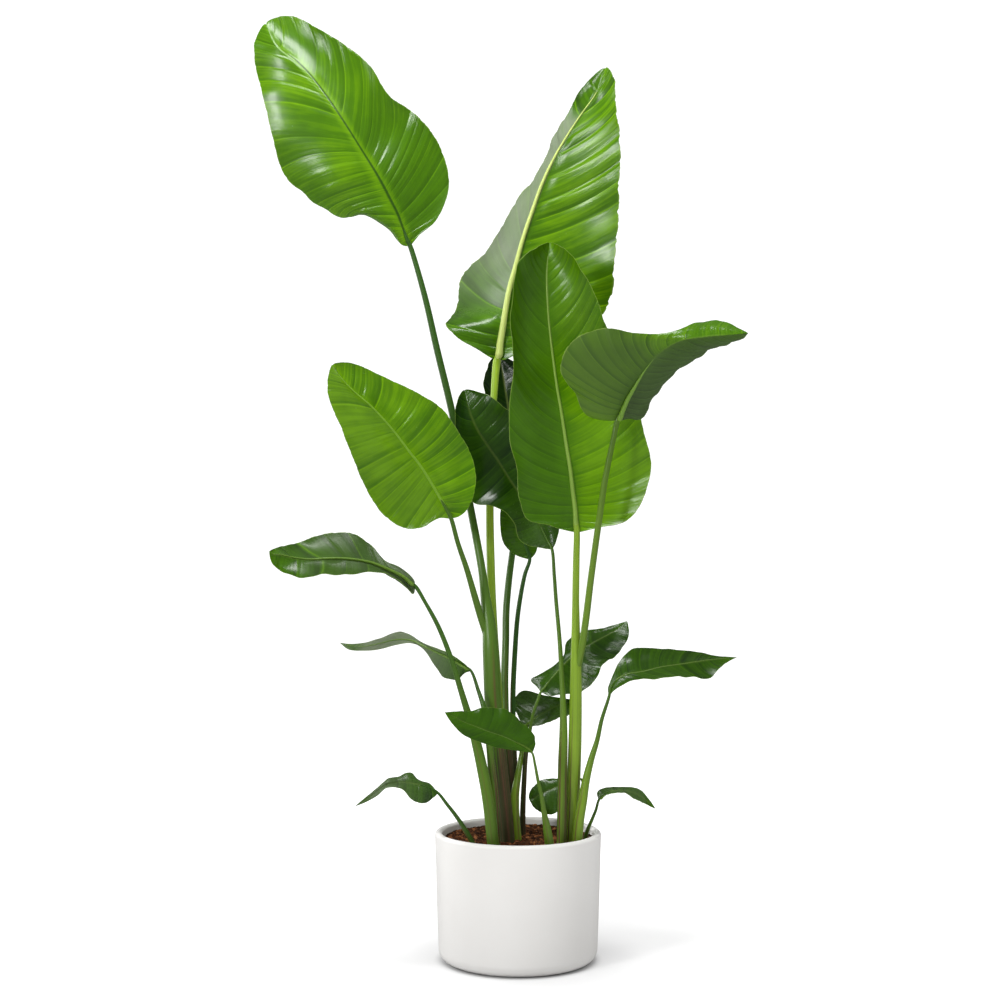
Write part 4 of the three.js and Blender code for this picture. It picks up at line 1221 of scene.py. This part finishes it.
def leaf_material(look):
    """Waxy leaf surface, duller where leaf_dull says that it is a lower face."""
    material, w, surface = new_material("leaf_face")
    dull, rib_tone, bloom = w.mark("leaf_dull"), w.mark("rib_tone"), w.mark("leaf_bloom")
    lines = w.mark("leaf_lines", "Vector")
    veins = w.group(vein_group, {"Lines": lines, "Fine veins": 8.0})
    mottle = w.mottle(11.0)
    # Paler vein ridges with a painted highlight, then painted shade below each pleat's step
    lined = w.plus(w.times(veins["Vein"], VEIN_PALE_AND_HIGHLIGHT), w.times(veins["Shade"], VEIN_SHADE))
    lined = w.plus(lined, w.times(w.centred(veins["Fine"]), FINE_VEINS))
    depth = w.times(w.mark("vein_depth"), w.span(dull, 0.0, 1.0, 1.0, 1.7))
    # leaf_tone is partly the leaf's own green and partly painted light and shade, by halves and
    # ends
    shade = w.plus(w.mark("leaf_tone"), w.times(w.centred(mottle["Patches"]), PATCHES))
    shade = w.plus(shade, w.times(lined, depth))
    beside = w.span(rib_tone, -0.3, 0.3, 0.14, -0.03)
    shade = w.plus(shade, w.times(veins["Rib side"], beside))
    colour = w.gradient(shade, greens(look))
    sunk = w.math("MULTIPLY", rib_tone, -0.8, clamp=True)
    colour = w.blend(w.times(veins["Rib"], sunk), colour, RIB_SHADOW)
    raised = w.math("MULTIPLY", rib_tone, 0.8, clamp=True)
    colour = w.blend(w.times(veins["Rib"], raised), colour, look.rib)
    colour = w.blend(w.times(dull, UNDERSIDE_SHARE), colour, look.underside)
    streaked = w.times(veins["Fine"], w.times(dull, 0.35))
    colour = w.blend(streaked, colour, DULL_STREAK)
    # Painted grey sheen where the wax lies, in place of grazing reflections, patchy with the
    # mottle
    painted_sheen = w.times(bloom, w.span(mottle["Patches"], 0.2, 0.7, 0.75, 1.0))
    colour = w.blend(painted_sheen, colour, look.bloom)
    edge = w.times(veins["Margin"], w.span(dull, 0.0, 1.0, 0.5, 0.8))
    colour = w.blend(edge, colour, PALE_MARGIN)
    rough = w.plus(w.times(mottle["Specks"], 0.14), w.span(dull, 0.0, 1.0, 0.17, 0.36))
    rough = w.plus(rough, w.times(bloom, 0.35))
    shader = w.principled(colour, rough, (0.4, 0.0006, veins["Height"]))
    shader.inputs["IOR"].default_value = LEAF_IOR
    glow = w.blend(1.0, colour, LIGHT_THROUGH, "MULTIPLY")
    through = w.add("BsdfTranslucent", {"Color": glow}).outputs[0]
    mix = w.add("MixShader", {0: LIGHT_THROUGH_SHARE, 1: shader.outputs[0], 2: through})
    w.feed(surface, mix.outputs[0])
    return material


def rib_material(look):
    """Smooth leaf rib, paler than its blade."""
    material, w, surface = new_material("leaf_rib")
    colour = w.blend(w.mark("rib_tone"), w.gradient(w.mark("leaf_tone"), greens(look)), look.rib)
    colour = w.blend(w.times(w.mottle(30.0)["Patches"], 0.2), colour, RIB_PATCH)
    w.feed(surface, w.principled(colour, 0.38).outputs[0])
    return material


def stalk_material(look):
    """Fleshy stalk with fine lengthwise streaks, dry and brown at its foot."""
    material, w, surface = new_material("leaf_stalk")
    around = w.add("UVMap").outputs[0]
    streak = w.noise(around, 1.0, 4.0, stretch=(2.0, 26.0, 1.0))
    fleck = w.noise(around, 1.0, 3.0, stretch=(60.0, 90.0, 1.0))
    colour = w.blend(w.mark("stalk_tone"), look.fresh, look.pale)
    colour = w.blend(w.span(streak, 0.42, 0.70, 0.0, 0.45), colour, STALK_STREAK)
    height = w.add("SeparateXYZ", {0: w.spot()}).outputs[2]
    low = w.span(height, 0.6 * look.dry_height, look.dry_height, 1.0, 0.0)
    spread = w.plus(w.mark("stalk_dry"), w.times(w.centred(streak), 2.4))
    patch = w.span(w.times(low, spread), 0.36, 0.62)
    colour = w.blend(patch, colour, w.blend(w.span(streak, 0.50, 0.66), look.dry, look.husk))
    edge = w.times(w.mark("stalk_lip"), w.span(streak, 0.35, 0.65, 0.25, 0.9))
    colour = w.blend(edge, colour, look.husk)
    colour = w.blend(w.span(fleck, 0.62, 0.75, 0.0, 0.25), colour, STALK_FLECK)
    rough = w.span(patch, 0.0, 1.0, 0.36, 0.7)
    shader = w.principled(colour, rough, (0.3, 0.0008, streak))
    shader.inputs["Specular IOR Level"].default_value = 0.35
    w.feed(surface, shader.outputs[0])
    return material


def soil_material(look):
    """Damp coir soil and its lighter chips."""
    material, w, surface = new_material("coir_soil")
    specks = w.mottle(60.0)["Specks"]
    share = w.plus(w.mark("chip_tone"), w.times(w.centred(specks), 0.8))
    colour = w.gradient(share, [look.dark, DAMP_COIR, look.light])
    shader = w.principled(colour, 0.9, (0.8, 0.002, specks))
    shader.inputs["Specular IOR Level"].default_value = 0.15
    w.feed(surface, shader.outputs[0])
    return material


def pot_material(look):
    """Matte off-white glaze with a very fine grain."""
    material, w, surface = new_material("pot_glaze")
    mottle = w.mottle(9.0)
    tint = w.span(mottle["Patches"], 0.3, 0.7, 0.0, 0.12)
    colour = w.blend(tint, look.colour, GLAZE_SHADE)
    rough = w.span(mottle["Specks"], 0.3, 0.7, 0.42, 0.55)
    shader = w.principled(colour, rough, (0.06, 0.0004, mottle["Specks"]))
    w.feed(surface, shader.outputs[0])
    return material


# Pieces


def between_corners(corners, along, across, blend=0.25):
    """A value at each point, blended between those at the blade's four corners."""
    left_base, left_tip, right_base, right_tip = corners
    side = ramp(across, -blend, blend)
    left = left_base + (left_tip - left_base) * along
    right = right_base + (right_tip - right_base) * along
    return left + (right - left) * side


def make_blade(name, leaf, look, materials):
    """One blade: a pleated sheet with its two faces, and its rib."""
    blade = Blade(name, leaf, look)
    big = blade.length > BIG_BLADE_LENGTH
    piece = new_grid(f"{name}_blade", *(BIG_BLADE_STEPS if big else SMALL_BLADE_STEPS))
    apply_modifier(piece, "SOLIDIFY", thickness=DRAFT_THICKNESS, offset=0)
    flat = coordinates(piece)
    even = np.clip((flat[:, 0] + 1) / 2, 0, 1)
    start = even - END_CROWDING * np.sin(2 * np.pi * even) / (2 * np.pi)
    share = np.clip(flat[:, 1], -1, 1)
    across = np.sign(share) * np.abs(share) ** RIB_CROWDING
    upper = flat[:, 2] > 0
    along = blade.slanted(start, across)
    across = across * (1 + blade.raggedness(start, across))
    upward = blade.upward(along, across)
    thin = 1 - TIP_THINS_BY * ramp(start, *TIP_THINS)
    skin = np.where(upper, 0.5, -0.5) * look.thickness * thin
    ends = ramp(start, 0, END_SHARE) * ramp(1 - start, 0, END_SHARE)
    lift = (blade.relief(start, across) + skin) * ends
    place(piece, blade.sheet(along, across) + upward * lift[:, None])
    reach = np.abs(across)
    distance = reach * blade.half_width(along, across) / MM
    lines = np.stack([blade.vein_count(start), reach, distance], axis=1)
    tag(piece, "leaf_lines", lines)
    # Tones at the corners: partly the leaf's own green, partly painted light and shade
    tag(piece, "leaf_tone", between_corners(leaf["tones"], along, across))
    tag(piece, "vein_depth", min(MOST_CONTRAST, leaf["pleat"] + MORE_CONTRAST))
    # Painted grey sheen of the wax at the corners, fading out before the tip
    bloom = between_corners(leaf["bloom"], along, across, HALVES_MEET)
    bloom *= 1 - ramp(along, *WAX_AND_SHEEN_FADES)
    tag(piece, "leaf_bloom", np.clip(bloom, 0, look.most_bloom))
    tag(piece, "rib_tone", leaf["rib"] * (1 - ramp(start, *RIB_FADES)))
    lower = np.clip(between_corners(leaf["dull"], along, across, HALVES_MEET), 0, 1)
    tag(piece, "leaf_dull", np.where(upper, 1 - lower, lower))
    in_edit(piece, merge(2 * SAME_PLACE), face_outward)
    rib = make_rib(name, leaf, blade)
    for polygon in rib.data.polygons:
        polygon.material_index = 1
    wear(piece, *materials)
    wear(rib, *materials)
    join(piece, rib)
    smooth(piece, BLADE_SHARP)
    return piece


def make_rib(name, leaf, blade):
    """The round rib: proud of the upper face at sink 0, wholly under it at sink 1."""
    steps, sides = RIB_STEPS
    along = np.linspace(0, RIB_REACH, steps)
    middle = np.zeros(steps)
    upward = blade.upward(along, middle)
    set_in = ramp(along, *RIB_SETS_IN)
    radii = leaf["rib_radius"] * MM * (1 - along) ** RIB_TAPER + THINNEST_RIB
    radii *= RIB_START + (1 - RIB_START) * set_in
    end = leaf["rib_end"]
    radii *= 1 - RIB_FLATTENS_BY * ramp(along, end - RIB_FLATTENS_OVER, end)
    sink = radii * (2 * leaf["sink"] - 1) * set_in
    centres = blade.sheet(along, middle) - upward * sink[:, None]
    tube = make_tube(f"{name}_rib", centres, radii, upward, sides)
    tag(tube, "leaf_tone", np.mean(leaf["tones"]))
    start_tone, rib_tone = leaf["stalk_tone"][0], abs(leaf["rib"])
    reached = ramp(marks(tube, "stalk_place"), *RIB_TONE_STARTS)
    tag(tube, "rib_tone", start_tone + (rib_tone - start_tone) * reached)
    return tube


def stalk_path(leaf, steps):
    """Centres and radii down the stalk, from where it runs into its blade's rib."""
    rows, radius = leaf["rows"], leaf["tip_radius"]
    thin, thick = STALK_STARTS_IN_BLADE
    inside = [(*rows[2][-2], thin * radius), (*rows[1][-2], thick * radius)]
    points = np.array([*inside, (*rows[0][0], radius), *leaf["stalk"]])
    spans = len(points) - 1
    base = len(inside)
    spot = np.concatenate([
        np.linspace(0, base, JOIN_STEPS)[:-1],
        np.linspace(base, spans, steps),
    ])
    centres = smooth_through(points[:, :3], spot / spans) * MM
    radii = np.interp(spot, np.arange(len(points)), points[:, 3]) * MM
    return centres, radii


def make_stalk(name, leaf, material):
    """One stalk: round under its blade, with a rolled sheath edge lower down."""
    steps, sides = STALK_STEPS
    centres, radii = stalk_path(leaf, steps)
    turn = random.Random(name + "stalk").uniform(*LIP_TURNS) * math.pi

    def past_lip(angle):
        return (angle - turn) % (2 * math.pi)

    def bulge(share, angle):
        sheath = ramp(share, *SHEATH_STARTS)
        lip = LIP_RISE * np.exp(-past_lip(angle) / LIP_SPREAD) * sheath
        return 1 + lip + SHEATH_OVAL * np.sin(2 * angle + turn) * sheath

    sideways = np.tile(np.array([1.0, 0.0, 0.0]), (len(centres), 1))
    piece = make_tube(f"{name}_stalk", centres, radii, sideways, sides, bulge)
    height = coordinates(piece)[:, 2]
    down = (height.max() - height) / (height.max() - height.min())
    top_tone, foot_tone = leaf["stalk_tone"]
    turned = ramp(down, *STALK_TONE_TURNS)
    tag(piece, "stalk_tone", top_tone + (foot_tone - top_tone) * turned)
    tag(piece, "stalk_dry", leaf["dryness"])
    sheathed = ramp(marks(piece, "stalk_place"), *DRY_LIP_STARTS)
    edge = past_lip(marks(piece, "stalk_angle")) < DRY_LIP_WIDTH
    tag(piece, "stalk_lip", (1 - ramp(height, *DRY_LIP_HEIGHT)) * sheathed * edge)
    wear(piece, material)
    smooth(piece, STALK_SHARP)
    return piece


class PLANT_OT_blades(bpy.types.Operator):
    """Build every leaf blade with its rib"""

    bl_idname = "plant.blades"
    bl_label = "Leaf blades"

    def execute(self, context):
        look = context.scene.blade_look
        materials = leaf_material(look), rib_material(look)
        for name, leaf in LEAVES.items():
            piece = make_blade(name, leaf, look, materials)
            stand_for(piece, f"{name}_blade")
        return {"FINISHED"}


class PLANT_OT_stalks(bpy.types.Operator):
    """Build every leaf stalk with its sheath"""

    bl_idname = "plant.stalks"
    bl_label = "Leaf stalks"

    def execute(self, context):
        material = stalk_material(context.scene.stalk_look)
        for name, leaf in LEAVES.items():
            stand_for(make_stalk(name, leaf, material), f"{name}_stalk")
        return {"FINISHED"}


def soil_height(spot, look):
    """Height of the soil's lumpy top at this spot."""
    lumps = noise.fractal(spot * LUMP_PITCH, *LUMP_FRACTAL)
    return SOIL_HIGH.z - look.sink + lumps * look.lump


def make_soil_bed(radius, look):
    """The soil's lumpy top, closed down to the pot's floor."""
    piece = new_grid("potting_soil_bed", SOIL_STEPS, SOIL_STEPS)
    x, y, _ = coordinates(piece).T
    x, y = x * np.sqrt(1 - y * y / 2) * radius, y * np.sqrt(1 - x * x / 2) * radius
    spots = [Vector((*spot, SOIL_SEED)) for spot in zip(x, y)]
    grit = [noise.fractal(spot * GRIT_PITCH, *GRIT_FRACTAL) * look.grit for spot in spots]
    heights = [soil_height(spot, look) for spot in spots]
    place(piece, np.column_stack([x, y, np.add(heights, grit)]))

    def close_below():
        down = {"value": (0, 0, -BED_DEPTH)}
        bpy.ops.mesh.extrude_region_move(TRANSFORM_OT_translate=down)
        bpy.ops.mesh.edge_face_add()

    in_edit(piece, pick_open_edges, close_below, face_outward)
    tag(piece, "chip_tone", BED_TONE)
    return piece


def make_chips(radius, look):
    """Chips and short fibres of coir, lying on the soil."""
    luck = random.Random("coir")
    name = "potting_soil_chips"
    chip = primitive(name, bpy.ops.mesh.primitive_ico_sphere_add, subdivisions=1, radius=1)
    shape = coordinates(chip)
    faces = [tuple(p.vertices) for p in chip.data.polygons]
    points, polygons, tones = [], [], []
    for _ in range(look.chips):
        reach = radius * math.sqrt(luck.random())
        angle = luck.uniform(0, 2 * math.pi)
        x, y = reach * math.cos(angle), reach * math.sin(angle)
        fibre = luck.random() < FIBRE_SHARE
        length = luck.uniform(*(FIBRE_LENGTH if fibre else CHIP_LENGTH))
        width = luck.uniform(*(FIBRE_WIDTH if fibre else CHIP_WIDTH_SHARE))
        width *= 1 if fibre else length
        size = Matrix.Diagonal((length, width, width * luck.uniform(*CHIP_FLATNESS)))
        turn = Matrix.Rotation(luck.uniform(0, FULL_TURN), 3, "Z")
        tilt = Matrix.Rotation(luck.uniform(*CHIP_TILT), 3, "Y")
        rough = np.array([[luck.uniform(*CHIP_ROUGHNESS)] for _ in shape])
        first = len(points) * len(shape)
        height = soil_height(Vector((x, y, SOIL_SEED)), look) + width * CHIP_LIFT
        points.append((shape * rough) @ np.array(turn @ tilt @ size).T + (x, y, height))
        polygons.extend(tuple(v + first for v in face) for face in faces)
        dark = luck.random() < DARK_SHARE
        tones.append(luck.uniform(*(DARK_TONES if dark else LIGHT_TONES)))
    mesh = bpy.data.meshes.new(name)
    mesh.from_pydata(np.concatenate(points).tolist(), [], polygons)
    chip.data = mesh
    tag(chip, "chip_tone", np.repeat(tones, len(shape)))
    return chip


class PLANT_OT_soil(bpy.types.Operator):
    """Build the soil with its chips and fibres"""

    bl_idname = "plant.soil"
    bl_label = "Soil"

    def execute(self, context):
        look = context.scene.soil_look
        radius = (SOIL_HIGH.x - SOIL_LOW.x) / 2
        bed = make_soil_bed(radius, look)
        chips = make_chips(radius - CHIP_TO_WALL, look)
        material = soil_material(look)
        wear(bed, material)
        wear(chips, material)
        join(bed, chips)
        smooth(bed, BODY_SHARP)
        stand_for(bed, "potting_soil")
        return {"FINISHED"}


def arc(centre, radius, start, end, steps):
    """Points (x, z) on an arc between two angles in degrees."""
    angles = np.radians(np.linspace(start, end, steps + 1))
    return [(centre[0] + radius * math.cos(a), centre[1] + radius * math.sin(a)) for a in angles]


def pot_outline(look):
    """Half the pot's section, from the middle of its underside to that of its floor."""
    rim, height, crest = POT_HIGH.x, POT_HIGH.z, look.wall / 2
    foot = (look.foot_radius - look.foot_round, look.foot_round)
    inside = look.foot_radius - look.wall
    return [
        (0.0, 0.0),
        *arc(foot, look.foot_round, -90, 0, FOOT_STEPS),
        ((look.foot_radius + rim) / 2, height / 2),
        *arc((rim - crest, height - crest), crest, 0, 180, RIM_STEPS),
        (inside + WALL_LEAN, look.floor + FLOOR_BEVEL),
        (inside - FLOOR_BEVEL, look.floor),
        (0.0, look.floor),
    ]


class PLANT_OT_pot(bpy.types.Operator):
    """Build the round pot"""

    bl_idname = "plant.pot"
    bl_label = "Pot"

    def execute(self, context):
        look = context.scene.pot_look
        mesh = bpy.data.meshes.new("planter_pot_body")
        outline = pot_outline(look)
        edges = [(i, i + 1) for i in range(len(outline) - 1)]
        mesh.from_pydata([(x, 0, z) for x, z in outline], edges, [])
        pot = bpy.data.objects.new("planter_pot_body", mesh)
        context.collection.objects.link(pot)
        turn = {"angle": 2 * math.pi, "center": (0, 0, 0), "axis": (0, 0, 1)}
        in_edit(
            pot,
            lambda: bpy.ops.mesh.spin(steps=POT_STEPS, dupli=False, **turn),
            lambda: bpy.ops.mesh.select_all(action="SELECT"),
            merge(SAME_PLACE),
            face_outward,
        )
        wear(pot, pot_material(look))
        smooth(pot, BODY_SHARP)
        stand_for(pot, "planter_pot")
        return {"FINISHED"}


def aim(thing, target):
    """Turns a light or camera to look at a point."""
    direction = Vector(target) - thing.location
    thing.rotation_euler = direction.to_track_quat("-Z", "Y").to_euler()


def add_area(name, spot, target, size, power, mirrored):
    """A soft oblong light, seen in glossy surfaces where it is mirrored."""
    data = bpy.data.lights.new(name, "AREA")
    data.shape = "RECTANGLE"
    data.size, data.size_y = size
    data.energy = power
    light = bpy.data.objects.new(name, data)
    bpy.context.collection.objects.link(light)
    light.location = spot
    light.visible_glossy = mirrored
    aim(light, target)


def glowing(name, grey, near, far):
    """A pale surface that glows a little, less so near the pot, which paints shade round it."""
    material, w, surface = new_material(name)
    flat = w.add("VectorMath", {0: w.spot(), 1: (1, 1, 0)}, operation="MULTIPLY").outputs[0]
    from_pot = w.add("VectorMath", {0: flat}, operation="LENGTH").outputs["Value"]
    # Painted shade on the floor round the pot: a tight dark ring at its foot and a wider,
    # fainter one
    tight = w.span(from_pot, *TIGHT_SHADE)
    contact = w.times(tight, w.span(from_pot, *WIDE_SHADE, WIDE_SHADE_TONE, 1.0))
    shader = w.principled((grey, grey, grey, 1), STAGE_ROUGHNESS)
    shader.inputs["Emission Color"].default_value = (1, 1, 1, 1)
    glow = w.times(w.span(from_pot, *NEAR_GLOW, near, far), contact)
    w.feed(shader.inputs["Emission Strength"], glow)
    w.feed(surface, shader.outputs[0])
    return material


def add_plane(name, centre, right, up, material):
    """A plane of the stage, unseen in glossy surfaces."""
    plane = primitive(name, bpy.ops.mesh.primitive_plane_add, size=2)
    across, along, _ = coordinates(plane).T
    place(plane, np.add(centre, np.outer(across, right) + np.outer(along, up)))
    wear(plane, material)
    plane.visible_glossy = False


class PLANT_OT_stage(bpy.types.Operator):
    """Set the camera, the lights and the white sweep"""

    bl_idname = "plant.stage"
    bl_label = "Stage"

    def execute(self, context):
        look = context.scene.studio_look
        scene = context.scene
        data = bpy.data.cameras.new("view")
        data.sensor_width = SENSOR_WIDTH
        data.lens = look.lens
        camera = bpy.data.objects.new("view", data)
        context.collection.objects.link(camera)
        camera.location = (look.camera_side, -look.camera_distance, look.camera_height)
        camera.rotation_euler = (math.pi / 2, 0, 0)
        scene.camera = camera
        for name, (centre, right, up, grey) in PLANES.items():
            near = getattr(look, f"{name}_glow")
            material = glowing(f"studio_{name}", grey, near, look.wall_glow)
            add_plane(f"studio_{name}", centre, right, up, material)
        world = bpy.data.worlds.new("studio")
        scene.world = world
        world.use_nodes = True
        background = world.node_tree.nodes["Background"]
        background.inputs["Color"].default_value = (1, 1, 1, 1)
        w = Wiring(world.node_tree)
        seen = w.add("LightPath").outputs["Is Camera Ray"]
        w.feed(background.inputs["Strength"], w.math("MAXIMUM", seen, look.sky))
        for name, (spot, target, size, mirrored) in LIGHTS.items():
            add_area(name, spot, target, size, getattr(look, f"{name}_power"), mirrored)
        scene.view_settings.view_transform = "Standard"
        return {"FINISHED"}


OPERATORS = (PLANT_OT_pot, PLANT_OT_soil, PLANT_OT_stalks, PLANT_OT_blades, PLANT_OT_stage)


class PLANT_PT_panel(bpy.types.Panel):
    """Lists the plant's pieces and their sizes"""

    bl_label = "Potted plant"
    bl_idname = "PLANT_PT_panel"
    bl_space_type = "VIEW_3D"
    bl_region_type = "UI"
    bl_category = "Plant"

    def draw(self, context):
        for operator in OPERATORS:
            self.layout.operator(operator.bl_idname)
        for key, group in LOOKS.items():
            box = self.layout.box()
            box.label(text=group.__doc__)
            for name in group.__annotations__:
                box.prop(getattr(context.scene, key), name)


CLASSES = (*LOOKS.values(), *OPERATORS, PLANT_PT_panel)


def register():
    for item in CLASSES:
        bpy.utils.register_class(item)
    for key, group in LOOKS.items():
        setattr(bpy.types.Scene, key, bpy.props.PointerProperty(type=group))


def unregister():
    for key in LOOKS:
        delattr(bpy.types.Scene, key)
    for item in reversed(CLASSES):
        bpy.utils.unregister_class(item)


def main():
    register()
    bpy.ops.plant.pot()
    bpy.ops.plant.soil()
    bpy.ops.plant.stalks()
    bpy.ops.plant.blades()
    bpy.ops.plant.stage()
    bpy.context.view_layer.update()


if __name__ == "__main__":
    main()
